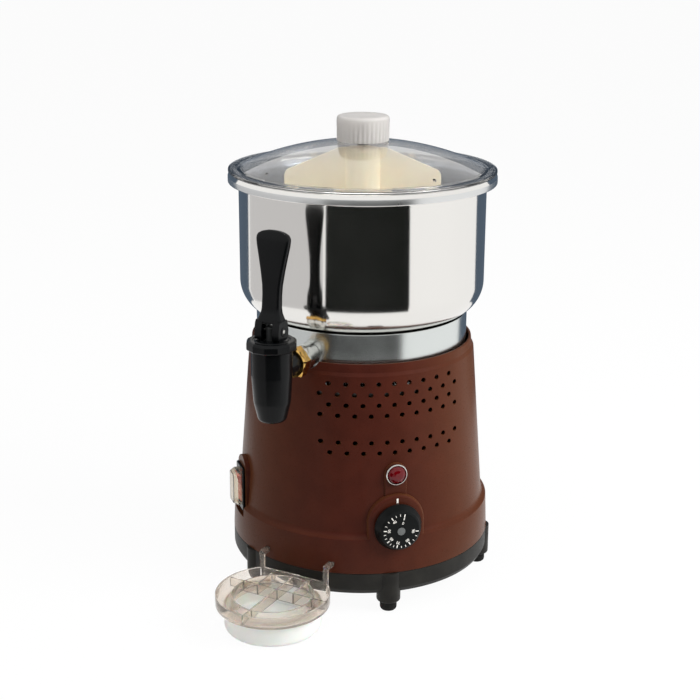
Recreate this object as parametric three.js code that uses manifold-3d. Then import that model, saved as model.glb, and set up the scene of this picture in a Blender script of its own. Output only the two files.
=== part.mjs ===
// Counter-top hot chocolate dispenser: a stainless bowl with a clear lid on a brown ventilated housing,
// with a self-closing tap, a mixing paddle driven from below, a thermostat dial and a hook-on drip tray.
// Millimetres, +Z up. The origin is the middle of the whole machine's footprint, on the floor.
import * as THREE from 'three';
import { mergeVertices } from 'three/addons/utils/BufferGeometryUtils.js';
import Module from 'manifold-3d';

const wasm = await Module();
wasm.setup();

// Clearances and counts
const seatGap = 0.3;
const slipGap = 0.4;
const shaftGap = 0.2;
const overrun = 2;
const roundSides = 40;
const partSides = 24;
const smallSides = 12;
const tinySides = 8;
const traySides = 34;

// Feet and base pan
const footHeight = 10;
const footRadius = 8.1;
const footEdge = 3.4;
const footStemRadius = 3;
const footStemLength = 8;
const footAzimuths = [-28, 41, 113, 182, 252];
const columnRadius = 11.5;
const columnDrop = 15;
const columnChamfer = 2;
const baseRadius = 128.7;
const baseHeight = 16.2;
const baseWall = 2.5;
const baseFloor = 3;
const baseSkirtDrop = 4.8;
const baseSkirtTaper = 2.7;
const footCircle = baseRadius - 8.4;
const upstandRadius = baseRadius - 3.4;
const upstandRise = 7;
const upstandWall = 2.2;
const baseUnderside = footHeight + columnDrop;
const baseTop = baseUnderside + baseHeight;
const baseDeck = baseUnderside + baseFloor;

// Housing: belt, cone and collar lip
const shellWall = 2.5;
const shellFootRadius = baseRadius + 0.1;
const beltRadius = shellFootRadius - 1.8;
const beltTopRadius = beltRadius - 1.6;
const coneFootRadius = beltTopRadius - 3.5;
const coneTopRadius = coneFootRadius - 11.5;
const lipFootRadius = coneTopRadius - 2.1;
const lipRadius = lipFootRadius - 0.8;
const beltHeight = 33;
const beltEdge = 1.2;
const ledgeHeight = 9;
const coneHeight = 146.3;
const lipCrease = 3;
const lipHeight = 8;
const notchRadius = 13;
const shellFoot = baseTop + seatGap;
const beltTop = shellFoot + beltHeight + beltEdge;
const coneFoot = beltTop + ledgeHeight;
const coneTop = coneFoot + coneHeight;
const shellTop = coneTop + lipCrease + lipHeight;

// Housing ventilation holes
const ventRadius = 2.35;
const ventPitch = 14.6;
const ventSides = 6;
const ventRowCounts = [9, 10, 10, 9, 10, 9];
const ventRowPitch = 10;
const ventBandGap = 25.6;
const ventRowsBelow = 2;
const ventFirst = 157.8;

// Control panel: thermostat boss, lamp strip and their azimuth
const panelAzimuth = 43.8;
const bossRadius = 27.6;
const bossHeight = 91;
const dialHeight = 88.2;
const bossWall = 2.5;
const bossProud = 0.2;
const bossLean = (shellFootRadius - beltRadius) / beltHeight;
const bossFace = (height) => beltRadius + bossProud - bossLean * (height - shellFoot - beltHeight);
const bossReach = bossFace(bossHeight);
const stripHalf = 10.6;
const stripReach = coneFootRadius - 1.4;
const lampHeight = 138;
const lampHoleRadius = 6.5;
const spindleRadius = 3;
const spindleHoleRadius = 5.2;

// Switch pad and switch
const switchAzimuth = -44;
const padReach = coneFootRadius + 1.2;
const padHalf = 16.5;
const padFoot = 66;
const padTop = 125;
const switchHeight = 93;
const frameHalfWidth = 12.5;
const frameHalfHeight = 22.5;
const frameThickness = 2.5;
const windowHalfWidth = 7.5;
const windowHalfHeight = 15.4;
const switchBodyHalfWidth = 10.3;
const switchBodyHalfHeight = 19;
const switchBodyDepth = 24;
const rockerTravel = 18;

// Bowl
const bowlWall = 1.2;
const bowlRadius = 118.2;
const bowlCorner = 32;
const wellRadius = 95.5;
const wellCorner = 4;
const wellDepth = 34;
const shoulderRise = 2.25;
const shoulderRadius = 98;
const bowlHeight = 170;
const rimRadius = 128;
const rimHeight = 9.6;
const rimEdge = 0.8;

// Heating jacket below the bowl
const jacketWall = 1.2;
const jacketRadius = 102.7;
const jacketCorner = 5;
const jacketHeight = 49.2;
const jacketLip = 4.4;
const bathDepth = 16;
const sealHeight = 4.4;

// Deck that carries jacket and gear motor
const deckThickness = 2.7;
const deckDrop = 27.5;
const deckRadius = coneTopRadius - 1.6;
const pillarCircle = lipRadius - 15.5;
const pillarRadius = 5;
const pillarSpigot = 2;
const pillarAzimuths = [8, 128, 248];

// Levels that follow
const deckTop = shellTop - deckDrop;
const deckUnderside = deckTop - deckThickness;
const jacketUnderside = deckTop + seatGap;
const jacketTop = jacketUnderside + jacketHeight;
const bowlUnderside = jacketUnderside + jacketWall + bathDepth;
const bowlFloor = bowlUnderside + bowlWall;
const rimTop = bowlUnderside + bowlHeight;
const rimShelf = rimTop - rimHeight;
const shoulder = bowlUnderside + wellDepth;

// Lid and its knob
const lidWall = 2.5;
const lidRadius = rimRadius - 0.2;
const lidFlange = 2.8;
const domeRadius = 291;
const domeRise = 28;
const domeEdge = rimRadius - 11;
const skirtRadius = rimRadius - 2.1;
const skirtWall = 2.2;
const skirtDrop = 6;
const knobRadius = 25;
const knobFluteDepth = 0.7;
const knobFlutes = 36;
const knobHeight = 23.7;
const knobWall = 3.6;
const knobBossRadius = 6;
const knobScrewRadius = 2;
const knobScrewHead = 5;
const knobScrewHeadHeight = 2.6;
const steamHoleRadius = 1.4;
const steamHoleCircle = 108;
const steamHoleAzimuths = [64, 154, 244, 334];
const lidSeat = rimTop + seatGap;
const flangeTop = lidSeat + lidFlange;
const domeTop = rimTop + domeRise;

// Drive: column, shaft, paddle
const columnTubeRadius = 9;
const columnBore = 5.5;
const columnFlange = 16;
const columnFlangeThickness = 2.4;
const columnTop = 385;
const columnNutFlats = 15;
const columnNutHeight = 7.4;
const bushLength = 10;
const shaftRadius = 4;
const hexRadius = 4.2;
const hexLength = 15;
const shaftTop = 407;
const hubRadius = 16.6;
const hubBore = 11.2;
const hubFoot = 240;
const hubCeiling = 392;
const hubTop = 422.5;
const paddleAzimuth = 27.8;
const wingReach = 74.5;
const wingThickness = 4;
const wingTip = 402.5;
const wingTipRadius = 4;
const windowSize = 34;
const windowGap = 12;
const windowFoot = 258;

// Gear motor
const motorOffset = 36;
const gearModule = 1.2;
const wheelTeeth = 50;
const pinionTeeth = 10;
const gearBacklash = 0.35;
const gearWidth = 8;
const gearboxWall = 3;
const gearboxCavity = 21;
const gearboxRadius = 36;
const gearboxNose = 14;
const motorRadius = 27;
const motorWall = 2;
const motorLength = 50;
const rotorRadius = 20;
const rotorLength = 28;
const rotorShaft = 3;

// Tap
const tapReach = 169;
const tapFoot = 203;
const tapBodyRadius = 18.4;
const tapWaistRadius = 17.6;
const tapMouthRadius = 11.5;
const chamberRadius = 14;
const outletRadius = 8;
const valveSeat = 226;
const tapBodyTop = 274.5;
const bonnetFoot = 270;
const bonnetTop = 278.5;
const bonnetRadius = 22.5;
const bonnetSides = 12;
const bonnetRoof = 275.3;
const inletHeight = 247;
const inletRadius = 8.5;
const inletBore = 6.5;
const inletBossRadius = 11.2;
const inletBossEnd = 113;
const inletCollarRadius = 12.6;
const inletInner = 91.4;
const inletHead = 2;
const inletEnd = 146;
const stubRadius = 11.4;
const stubStart = 136.9;
const nutFlats = 13.6;
const nutStart = 125.4;
const nutLength = 11;
const nutTurn = 12;
const stemRadius = 5;
const valveRadius = 12.6;
const valveThickness = 6.5;
const pinRadius = 2;
const pinHeight = 287;
const springRadius = 10;
const springWire = 0.9;
const springTurns = 6;
const leverHalfWidth = 12.4;
const leverHeelDrop = 8.2;
const leverTravel = 50;
const leverLean = 4;
const plungerLift = 4.5;
const leverTop = 375.5;
const bladeThickness = 8;
const bladeHalfWidth = 16.5;
const neckHalfWidth = 8;

// Drip tray
const trayReach = 172.5;
const trayRadius = 53.3;
const trayWall = 1.8;
const trayChord = 40;
const trayFloor = 24;
const trayFloorThickness = 2;
const trayTop = 35.5;
const traySkirtRadius = 38.5;
const traySkirtDrop = 4;
const ribThickness = 1.8;
const cupRadius = 45.3;
const cupWall = 1.8;
const cupCorner = 5;
const cupFoot = 1;
const hookOffset = 34.8;
const hookWidth = 5;
const hookThickness = 2.6;
const hookTop = 52.5;
const hookPeg = 4;
const hookPegEnd = shellFootRadius - 10.2;

// Dial, lamp, gland and small electrical pieces
const dialRadius = 22.9;
const dialFaceRadius = 17.8;
const dialDepth = 11;
const dialCapRadius = 3.8;
const thermostatRadius = 15;
const thermostatDepth = 18;
const bulbLength = 36;
const lampRingRadius = 10.3;
const lampRingDepth = 2.4;
const lensRadius = 7.9;
const lensDepth = 5;
const lampBodyRadius = 6.1;
const lampBodyDepth = 24;
const glandHeight = 60;
const glandRadius = 11;
const glandThread = 8;
const glandBore = 4;
const glandReach = shellFootRadius + 8.2;
const glandInner = shellFootRadius - 12.8;
const glandFlange = 5;
const screwRadius = 2;
const screwHeadRadius = 3.8;
const screwHeadHeight = 2.2;
const lugAzimuths = [70, 150, 290];
const lugHalf = 6;
const lugFoot = 49;
const lugTop = 60;
const lugInner = shellFootRadius - 18.8;
const lugScrewCircle = shellFootRadius - 12.8;

// Materials
const finish = (color, roughness, metalness, opacity) => new THREE.MeshStandardMaterial({
  color,
  roughness,
  metalness,
  transparent: opacity < 1,
  opacity,
});
const brownPaint = finish(0x57332a, 0.35, 0, 1);
const blackPlastic = finish(0x15161a, 0.45, 0, 1);
const blackRubber = finish(0x1b1b1a, 0.85, 0, 1);
const polishedSteel = finish(0xd9d7d2, 0.12, 1, 1);
const zincSteel = finish(0xa9aaa8, 0.4, 1, 1);
const brass = finish(0xbc9a5c, 0.3, 1, 1);
const clearPlastic = finish(0xf2efe8, 0.08, 0, 0.35);
const smokedPlastic = finish(0xcfc2b0, 0.1, 0, 0.45);
const milkyPlastic = finish(0xece9e2, 0.35, 0, 0.85);
const creamPlastic = finish(0xe8daba, 0.45, 0, 1);
const redLens = finish(0x7a1013, 0.12, 0, 0.8);
const orangeRocker = finish(0xd4523a, 0.3, 0, 1);
const greyPlastic = finish(0x8f908c, 0.5, 0, 1);
const copperTube = finish(0xb06a45, 0.35, 1, 1);

const radians = THREE.MathUtils.degToRad;
const machine = new THREE.Group();

// A closed geometry as a solid, with its seam vertices joined and its pole triangles dropped.
function solid(geometry) {
  const bare = geometry.clone();
  bare.deleteAttribute('normal');
  bare.deleteAttribute('uv');
  const tolerance = 1e-4;
  const merged = mergeVertices(bare, tolerance);
  const index = merged.getIndex().array;
  const kept = [];
  for (let i = 0; i < index.length; i += 3) {
    const [a, b, c] = [index[i], index[i + 1], index[i + 2]];
    if (a !== b && b !== c && c !== a) kept.push(a, b, c);
  }
  const vertProperties = new Float32Array(merged.getAttribute('position').array);
  if (enclosedVolume(vertProperties, kept) < 0) kept.reverse();
  return new wasm.Manifold(new wasm.Mesh({ numProp: 3, vertProperties, triVerts: new Uint32Array(kept) }));
}

// Six times the volume that the triangles enclose, positive when their faces point out.
function enclosedVolume(points, triangles) {
  const [a, b, c] = [new THREE.Vector3(), new THREE.Vector3(), new THREE.Vector3()];
  let volume = 0;
  for (let i = 0; i < triangles.length; i += 3) {
    a.fromArray(points, 3 * triangles[i]);
    b.fromArray(points, 3 * triangles[i + 1]);
    c.fromArray(points, 3 * triangles[i + 2]);
    volume += a.dot(b.cross(c));
  }
  return volume;
}

// A solid as a named mesh in a group.
function addPart(name, shape, material, group = machine) {
  const mesh = shape.getMesh();
  const geometry = new THREE.BufferGeometry();
  geometry.setAttribute('position', new THREE.BufferAttribute(new Float32Array(mesh.vertProperties), 3));
  geometry.setIndex(new THREE.BufferAttribute(new Uint32Array(mesh.triVerts), 1));
  geometry.computeVertexNormals();
  const part = new THREE.Mesh(geometry, material);
  part.name = name;
  group.add(part);
  return part;
}

const joined = (...shapes) => shapes.reduce((whole, shape) => whole.add(shape));
const cut = (shape, ...cutters) => cutters.reduce((rest, cutter) => rest.subtract(cutter), shape);

// Points of an arc about (r, z) from one angle to another, in degrees.
function arc(r, z, radius, from, to, steps) {
  const points = [];
  for (let i = 0; i <= steps; i += 1) {
    const angle = radians(from + ((to - from) * i) / steps);
    points.push([r + radius * Math.cos(angle), z + radius * Math.sin(angle)]);
  }
  return points;
}

// A closed profile of [radius, height] points turned about the Z axis.
function turned(profile, sides = roundSides) {
  const closed = [...profile, profile[0]];
  const geometry = new THREE.LatheGeometry(closed.map(([r, z]) => new THREE.Vector2(r, z)), sides);
  return geometry.rotateX(Math.PI / 2);
}

// An upright rod standing on z = from.
function rod(radius, from, to, sides = partSides) {
  const geometry = new THREE.CylinderGeometry(radius, radius, to - from, sides);
  return geometry.rotateX(Math.PI / 2).translate(0, 0, (from + to) / 2);
}

// A block given by its limits along each axis.
function block(x0, x1, y0, y1, z0, z1) {
  const geometry = new THREE.BoxGeometry(x1 - x0, y1 - y0, z1 - z0);
  return geometry.translate((x0 + x1) / 2, (y0 + y1) / 2, (z0 + z1) / 2);
}

// An outline of [x, y] points raised along Z from one height to another.
function raised(outline, from, to) {
  const shape = new THREE.Shape(outline.map(([x, y]) => new THREE.Vector2(x, y)));
  const geometry = new THREE.ExtrudeGeometry(shape, { depth: to - from, bevelEnabled: false });
  return geometry.translate(0, 0, from);
}

// Places a geometry made in a wall frame: x along the wall, y up, z straight out from the machine's axis.
function onWall(geometry, azimuth, height) {
  const angle = radians(azimuth);
  const along = new THREE.Vector3(Math.cos(angle), Math.sin(angle), 0);
  const up = new THREE.Vector3(0, 0, 1);
  const out = new THREE.Vector3(Math.sin(angle), -Math.cos(angle), 0);
  const frame = new THREE.Matrix4().makeBasis(along, up, out).setPosition(0, 0, height);
  return geometry.clone().applyMatrix4(frame);
}

// Moves a geometry to a circle about the machine's axis.
function onCircle(geometry, radius, azimuth) {
  const angle = radians(azimuth);
  return geometry.clone().translate(radius * Math.sin(angle), -radius * Math.cos(angle), 0);
}

// Black base pan with a tapered skirt, five half-round foot columns and a low upstand that centres the housing.
function makeBasePan() {
  const skirtRadius = baseRadius - baseSkirtTaper;
  const pan = solid(turned([
    [0, baseUnderside],
    [skirtRadius - baseWall, baseUnderside],
    [skirtRadius - baseWall, baseUnderside - baseSkirtDrop],
    [skirtRadius, baseUnderside - baseSkirtDrop],
    [baseRadius, baseUnderside],
    [baseRadius, baseTop],
    [upstandRadius, baseTop],
    [upstandRadius, baseTop + upstandRise],
    [upstandRadius - upstandWall, baseTop + upstandRise],
    [upstandRadius - upstandWall, baseDeck],
    [0, baseDeck],
  ]));
  const column = turned([
    [0, footHeight],
    [columnRadius - columnChamfer, footHeight],
    [columnRadius, footHeight + columnChamfer],
    [columnRadius, baseTop],
    [0, baseTop],
  ], 16);
  const columns = footAzimuths.map((azimuth) => solid(onCircle(column, footCircle, azimuth)));
  const stemHole = rod(footStemRadius + seatGap, footHeight - overrun, footHeight + footStemLength + seatGap, tinySides);
  const stemHoles = footAzimuths.map((azimuth) => solid(onCircle(stemHole, footCircle, azimuth)));
  const screwHole = rod(screwRadius + seatGap, baseUnderside - overrun, baseDeck + overrun, tinySides);
  const screwHoles = [
    ...pillarAzimuths.map((azimuth) => solid(onCircle(screwHole, pillarCircle, azimuth))),
    ...lugAzimuths.map((azimuth) => solid(onCircle(screwHole, lugScrewCircle, azimuth))),
  ];
  addPart('base_pan', cut(joined(pan, ...columns), ...stemHoles, ...screwHoles), blackPlastic);
}

// Push-in rubber feet, rounded at the floor.
function makeFeet() {
  const foot = turned([
    [0, 0],
    ...arc(footRadius - footEdge, footEdge, footEdge, -90, 0, 2),
    [footRadius, footHeight - seatGap],
    [footStemRadius, footHeight - seatGap],
    [footStemRadius, footHeight + footStemLength],
    [0, footHeight + footStemLength],
  ], smallSides);
  footAzimuths.forEach((azimuth, i) => {
    addPart(`rubber_foot_${i + 1}`, solid(onCircle(foot, footCircle, azimuth)), blackRubber);
  });
}

// The housing's outline, drawn in by an inset for its inner side.
function shellSide(inset) {
  return [
    [shellFootRadius - inset, shellFoot],
    [beltRadius - inset, shellFoot + beltHeight],
    [beltTopRadius - inset, beltTop],
    [coneFootRadius - inset, coneFoot],
    [coneTopRadius - inset, coneTop],
    [lipFootRadius - inset, coneTop + lipCrease],
    [lipRadius - inset, shellTop],
  ];
}

// Cutters for the two bands of ventilation holes, all parallel to the panel's direction.
function ventCutters() {
  const spread = (Math.max(...ventRowCounts) * ventPitch) / 2;
  const start = Math.sqrt((coneTopRadius - 2 * shellWall) ** 2 - spread ** 2);
  const hole = rod(ventRadius, start, coneFootRadius, ventSides);
  return ventRowCounts.flatMap((count, row) => {
    const height = ventFirst + row * ventRowPitch + (row < ventRowsBelow ? 0 : ventBandGap - ventRowPitch);
    return Array.from({ length: count }, (_, i) => {
      const offset = (i - (count - 1) / 2) * ventPitch;
      return solid(onWall(hole.clone().translate(offset, 0, 0), panelAzimuth, height));
    });
  });
}

// Brown housing: belt, cone and lip in one moulding, with the raised boss, lamp strip and switch pad.
function makeShell() {
  const skin = solid(turned([...shellSide(0), ...shellSide(shellWall).reverse()]));
  const within = solid(turned([
    [0, shellFoot],
    ...shellSide(shellWall),
    [0, shellTop],
  ]));
  const bossStart = coneTopRadius;
  const boss = bossForm(0);
  const bossHollow = bossForm(bossWall);
  const stripLength = lampHeight - bossHeight;
  const strip = solid(onWall(roundStrip(stripHalf, bossStart, stripReach, stripLength), panelAzimuth, bossHeight));
  const stripHollow = solid(onWall(
    roundStrip(stripHalf - bossWall, bossStart - overrun, stripReach - bossWall, stripLength),
    panelAzimuth, bossHeight));
  const raisedParts = cut(joined(boss, strip), within);
  const hollows = joined(bossHollow, stripHollow);
  const spindleHole = solid(onWall(
    rod(spindleHoleRadius, bossStart, bossReach + overrun, smallSides), panelAzimuth, dialHeight));
  const lampHole = solid(onWall(
    rod(lampHoleRadius, bossStart, stripReach + overrun, smallSides), panelAzimuth, lampHeight));
  const switchHole = solid(onWall(block(
    -switchBodyHalfWidth - seatGap, switchBodyHalfWidth + seatGap,
    -switchBodyHalfHeight - seatGap, switchBodyHalfHeight + seatGap,
    bossStart - shellWall, padReach + overrun), switchAzimuth, switchHeight));
  const pegHalf = hookWidth / 2 + seatGap;
  const pegHoles = [-hookOffset, hookOffset].map((x) => solid(block(
    x - pegHalf, x + pegHalf, -shellFootRadius - overrun, -shellFootRadius + 6 * shellWall,
    hookTop - hookPeg - seatGap, hookTop + slipGap)));
  const notch = solid(onWall(
    rod(notchRadius, coneTopRadius - 4 * shellWall, coneTopRadius + overrun), 0, inletHeight));
  const glandHole = solid(onWall(
    rod(glandThread + seatGap, shellFootRadius - 4 * shellWall, shellFootRadius + overrun, smallSides), 180, glandHeight));
  const lugs = lugAzimuths.map((azimuth) => cut(
    solid(onWall(block(-lugHalf, lugHalf, lugFoot, lugTop, lugInner, shellFootRadius - shellWall), azimuth, 0)),
    solid(onCircle(rod(screwRadius - seatGap, lugFoot - overrun, lugTop - overrun, tinySides), lugScrewCircle, azimuth)),
  ));
  const outside = solid(turned([...shellSide(shellWall / 2), [shellFootRadius + bossRadius, shellTop],
    [shellFootRadius + bossRadius, shellFoot]]));
  const lugsInside = lugs.map((lug) => lug.subtract(outside));
  const dressed = cut(joined(skin, raisedParts), hollows, padClearing());
  addPart('housing', cut(joined(dressed, makePad(), ...lugsInside), ...ventCutters(), spindleHole, lampHole, switchHole,
    ...pegHoles, notch, glandHole), brownPaint);
}

// The thermostat's boss: an arch that carries the belt's face up past the ledge, drawn in by an inset.
function bossForm(inset) {
  const foot = shellFoot + beltHeight / 2;
  const top = bossHeight + bossRadius;
  const arch = solid(onWall(
    roundStrip(bossRadius - inset, coneTopRadius - inset, shellFootRadius, bossHeight - foot), panelAzimuth, foot));
  return arch.intersect(solid(turned([
    [0, foot],
    [bossFace(foot) - inset, foot],
    [bossFace(top) - inset, top],
    [0, top],
  ])));
}

// The space in front of the switch pad, where the cone stands proud of the pad's flat face.
function padClearing() {
  const length = padTop - padHalf - padFoot;
  return solid(onWall(roundStrip(padHalf, padReach, shellFootRadius, length), switchAzimuth, padFoot));
}

// Flat switch pad: a box behind the face, closed below by a slab that meets the belt.
function makePad() {
  const start = coneTopRadius;
  const slabReach = beltRadius - shellWall / 2;
  const length = padTop - padHalf - padFoot;
  const box = solid(onWall(roundStrip(padHalf, start, padReach, length), switchAzimuth, padFoot));
  const slab = solid(onWall(block(-padHalf, padHalf, -shellWall, 0, start, slabReach), switchAzimuth, padFoot));
  const hollow = solid(onWall(
    roundStrip(padHalf - bossWall, start - overrun, padReach - bossWall, length), switchAzimuth, padFoot));
  const below = solid(onWall(
    block(bossWall - padHalf, padHalf - bossWall, 0, overrun, start - overrun, padReach - bossWall),
    switchAzimuth, padFoot));
  return cut(joined(box, slab), hollow, below);
}

// A raised strip with a round top: a block from y = 0 up to the middle of a round end.
function roundStrip(half, from, to, length) {
  const outline = new THREE.Shape();
  outline.moveTo(-half, 0);
  outline.lineTo(half, 0);
  outline.lineTo(half, length);
  outline.absarc(0, length, half, 0, Math.PI, false);
  outline.lineTo(-half, 0);
  const geometry = new THREE.ExtrudeGeometry(outline, { depth: to - from, bevelEnabled: false, curveSegments: 8 });
  return geometry.translate(0, 0, from);
}

// The bowl's outline from the column hole to the rim, drawn in by an inset for its inner side.
function bowlSide(inset) {
  const wellEdge = wellRadius - wellCorner;
  const cornerRadius = bowlRadius - bowlCorner;
  const startAngle = -THREE.MathUtils.radToDeg(Math.acos((shoulderRadius - cornerRadius) / bowlCorner));
  const cornerHeight = shoulder + shoulderRise - bowlCorner * Math.sin(radians(startAngle));
  return [
    [columnTubeRadius + seatGap, bowlUnderside + inset],
    ...arc(wellEdge, bowlUnderside + wellCorner, wellCorner - inset, -90, 0, 2),
    [wellRadius - inset, shoulder + inset],
    ...arc(cornerRadius, cornerHeight, bowlCorner - inset, startAngle, 0, 3),
    [bowlRadius - inset, rimShelf + (inset > 0 ? inset : -rimEdge)],
  ];
}

// Stainless bowl with a stepped well and an outward rim band.
function makeBowl() {
  const rimInner = rimRadius - bowlWall;
  const bowl = solid(turned([
    ...bowlSide(0),
    [bowlRadius + rimEdge, rimShelf],
    [rimRadius - rimEdge, rimShelf],
    [rimRadius, rimShelf + rimEdge],
    [rimRadius, rimTop - rimEdge],
    [rimRadius - bowlWall / 2, rimTop],
    [rimInner, rimTop - rimEdge],
    [rimInner, rimShelf + bowlWall],
    ...bowlSide(bowlWall).reverse(),
  ]));
  const outlet = solid(onWall(
    rod(inletRadius + seatGap, wellRadius - 2 * wellCorner, wellRadius + overrun, smallSides), 0, inletHeight));
  addPart('bowl', cut(bowl, outlet), polishedSteel);
}

// Heating jacket: an open steel vessel round the bowl's well, with the seal in its mouth.
function makeJacket() {
  const inner = jacketRadius - jacketWall;
  const lipTop = jacketTop + jacketLip;
  const edge = jacketRadius - jacketCorner;
  const hole = columnTubeRadius + seatGap;
  const jacket = solid(turned([
    [hole, jacketUnderside],
    ...arc(edge, jacketUnderside + jacketCorner, jacketCorner, -90, 0, 2),
    [jacketRadius, lipTop - jacketWall],
    [jacketRadius - jacketWall / 2, lipTop],
    [inner, lipTop - jacketWall],
    ...arc(edge, jacketUnderside + jacketCorner, jacketCorner - jacketWall, 0, -90, 2),
    [hole, jacketUnderside + jacketWall],
  ]));
  const outlet = solid(onWall(
    rod(inletRadius + seatGap, inner - overrun, jacketRadius + overrun, smallSides), 0, inletHeight));
  const leg = rod(heaterTube + seatGap, jacketUnderside - overrun, jacketUnderside + overrun, smallSides);
  const legs = heaterLegs(leg);
  addPart('heating_jacket', cut(jacket, outlet, ...legs), polishedSteel);
  const sealFoot = jacketTop - jacketWall - sealHeight / 2;
  const seal = solid(turned([
    [wellRadius + seatGap, sealFoot],
    [inner - seatGap, sealFoot],
    [inner - seatGap, jacketTop + seatGap],
    [shoulderRadius, jacketTop + seatGap],
    [shoulderRadius - overrun / 2, shoulder - seatGap],
    [wellRadius + seatGap, shoulder - seatGap],
  ]));
  addPart('bowl_seal', seal, blackRubber);
}

// Heating element: a ring under the bowl's floor with two legs down through jacket and deck.
const heaterTube = 4.2;
const heaterCircle = 68;
const heaterLegDrop = 16;
const heaterLegHalf = 12;
function heaterLegs(leg) {
  const reach = Math.sqrt(heaterCircle ** 2 - heaterLegHalf ** 2);
  return [-heaterLegHalf, heaterLegHalf].map((x) => solid(leg.clone().translate(x, -reach, 0)));
}
function makeHeater() {
  const height = jacketUnderside + jacketWall + bathDepth / 2;
  const ring = solid(new THREE.TorusGeometry(heaterCircle, heaterTube, 6, 32).translate(0, 0, height));
  const leg = rod(heaterTube - seatGap, jacketUnderside - heaterLegDrop, height, smallSides);
  const collar = rod(heaterTube + overrun, jacketUnderside + jacketWall + seatGap, height - heaterTube / 2, smallSides);
  addPart('heating_element', joined(ring, ...heaterLegs(leg), ...heaterLegs(collar)), zincSteel);
}

// Steel deck on three pillars; it carries the jacket, the gearbox and the thermostat bulb.
function makeDeck() {
  const plate = solid(rod(deckRadius, deckUnderside, deckTop, roundSides));
  const centre = solid(rod(columnTubeRadius + seatGap, deckUnderside - overrun, deckTop + overrun));
  const leg = rod(heaterTube + overrun, deckUnderside - overrun, deckTop + overrun, smallSides);
  const spigot = rod(pillarSpigot + seatGap, deckUnderside - overrun, deckTop + overrun, tinySides);
  const spigots = pillarAzimuths.map((azimuth) => solid(onCircle(spigot, pillarCircle, azimuth)));
  addPart('deck_plate', cut(plate, centre, ...heaterLegs(leg), ...spigots), zincSteel);
  const pillar = turned([
    [screwRadius + seatGap, baseDeck + seatGap],
    [pillarRadius, baseDeck + seatGap],
    [pillarRadius, deckUnderside - seatGap],
    [pillarSpigot, deckUnderside - seatGap],
    [pillarSpigot, deckTop],
    [0, deckTop],
    [0, baseDeck + 4 * pillarRadius],
    [screwRadius + seatGap, baseDeck + 4 * pillarRadius],
  ], 6);
  pillarAzimuths.forEach((azimuth, i) => {
    addPart(`pillar_${i + 1}`, solid(onCircle(pillar, pillarCircle, azimuth)), zincSteel);
  });
}

// Pan-head screws from below: three into the pillars and three into the housing's lugs.
function makeBaseScrews() {
  const screw = (top) => turned([
    [0, baseUnderside - seatGap - screwHeadHeight],
    [screwHeadRadius, baseUnderside - seatGap - screwHeadHeight],
    [screwHeadRadius, baseUnderside - seatGap],
    [top === lugTop ? screwRadius - 2 * seatGap : screwRadius, baseUnderside - seatGap],
    [top === lugTop ? screwRadius - 2 * seatGap : screwRadius, top - 4 * overrun / 2],
    [0, top - 4 * overrun / 2],
  ], tinySides);
  pillarAzimuths.forEach((azimuth, i) => {
    const top = baseDeck + 4 * pillarRadius;
    addPart(`pillar_screw_${i + 1}`, solid(onCircle(screw(top), pillarCircle, azimuth)), zincSteel);
  });
  lugAzimuths.forEach((azimuth, i) => {
    addPart(`housing_screw_${i + 1}`, solid(onCircle(screw(lugTop), lugScrewCircle, azimuth)), zincSteel);
  });
}

// Centre column: a tube clamped to the bowl's floor by its flange and nut, with a bush at each end.
function makeColumn() {
  const flangeFoot = bowlFloor + seatGap;
  const column = solid(turned([
    [columnBore, deckUnderside],
    [columnTubeRadius, deckUnderside],
    [columnTubeRadius, flangeFoot],
    [columnFlange, flangeFoot],
    [columnFlange, flangeFoot + columnFlangeThickness],
    [columnTubeRadius, flangeFoot + columnFlangeThickness],
    [columnTubeRadius, columnTop],
    [columnBore, columnTop],
  ], partSides));
  addPart('centre_column', column, polishedSteel);
  const nutTop = bowlUnderside - seatGap;
  const nut = cut(
    solid(rod(columnNutFlats / Math.cos(Math.PI / 6), nutTop - columnNutHeight, nutTop, 6)),
    solid(rod(columnTubeRadius + seatGap, nutTop - columnNutHeight - overrun, nutTop + overrun)),
  );
  addPart('column_nut', nut, brass);
  const bush = (foot) => solid(turned([
    [shaftRadius + shaftGap, foot],
    [columnBore - shaftGap, foot],
    [columnBore - shaftGap, foot + bushLength],
    [shaftRadius + shaftGap, foot + bushLength],
  ], partSides));
  addPart('lower_bush', bush(deckUnderside), brass);
  addPart('upper_bush', bush(columnTop - bushLength), brass);
  const seal = solid(turned([
    [shaftRadius + shaftGap, columnTop + seatGap],
    [columnTubeRadius, columnTop + seatGap],
    [columnTubeRadius - overrun, columnTop + 2 * overrun],
    [shaftRadius + shaftGap, columnTop + 2 * overrun],
  ], partSides));
  addPart('shaft_seal', seal, blackRubber);
}

// Outline of a gear with straight-sided teeth, turned by a share of a tooth.
function gearOutline(teeth, shareOfTooth) {
  const pitch = (teeth * gearModule) / 2;
  const root = pitch - 1.25 * gearModule;
  const tip = pitch + 0.9 * gearModule;
  const outline = [];
  for (let i = 0; i < teeth; i += 1) {
    const middle = ((i + shareOfTooth) * 2 * Math.PI) / teeth;
    const quarter = Math.PI / teeth / 2 - gearBacklash / 4 / pitch;
    const slope = (gearModule * 0.36) / pitch;
    const corners = [[root, -quarter - slope], [tip, -quarter + slope], [tip, quarter - slope], [root, quarter + slope]];
    corners.forEach(([r, offset]) => outline.push([
      r * Math.cos(middle + offset),
      r * Math.sin(middle + offset),
    ]));
  }
  return outline;
}

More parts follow.
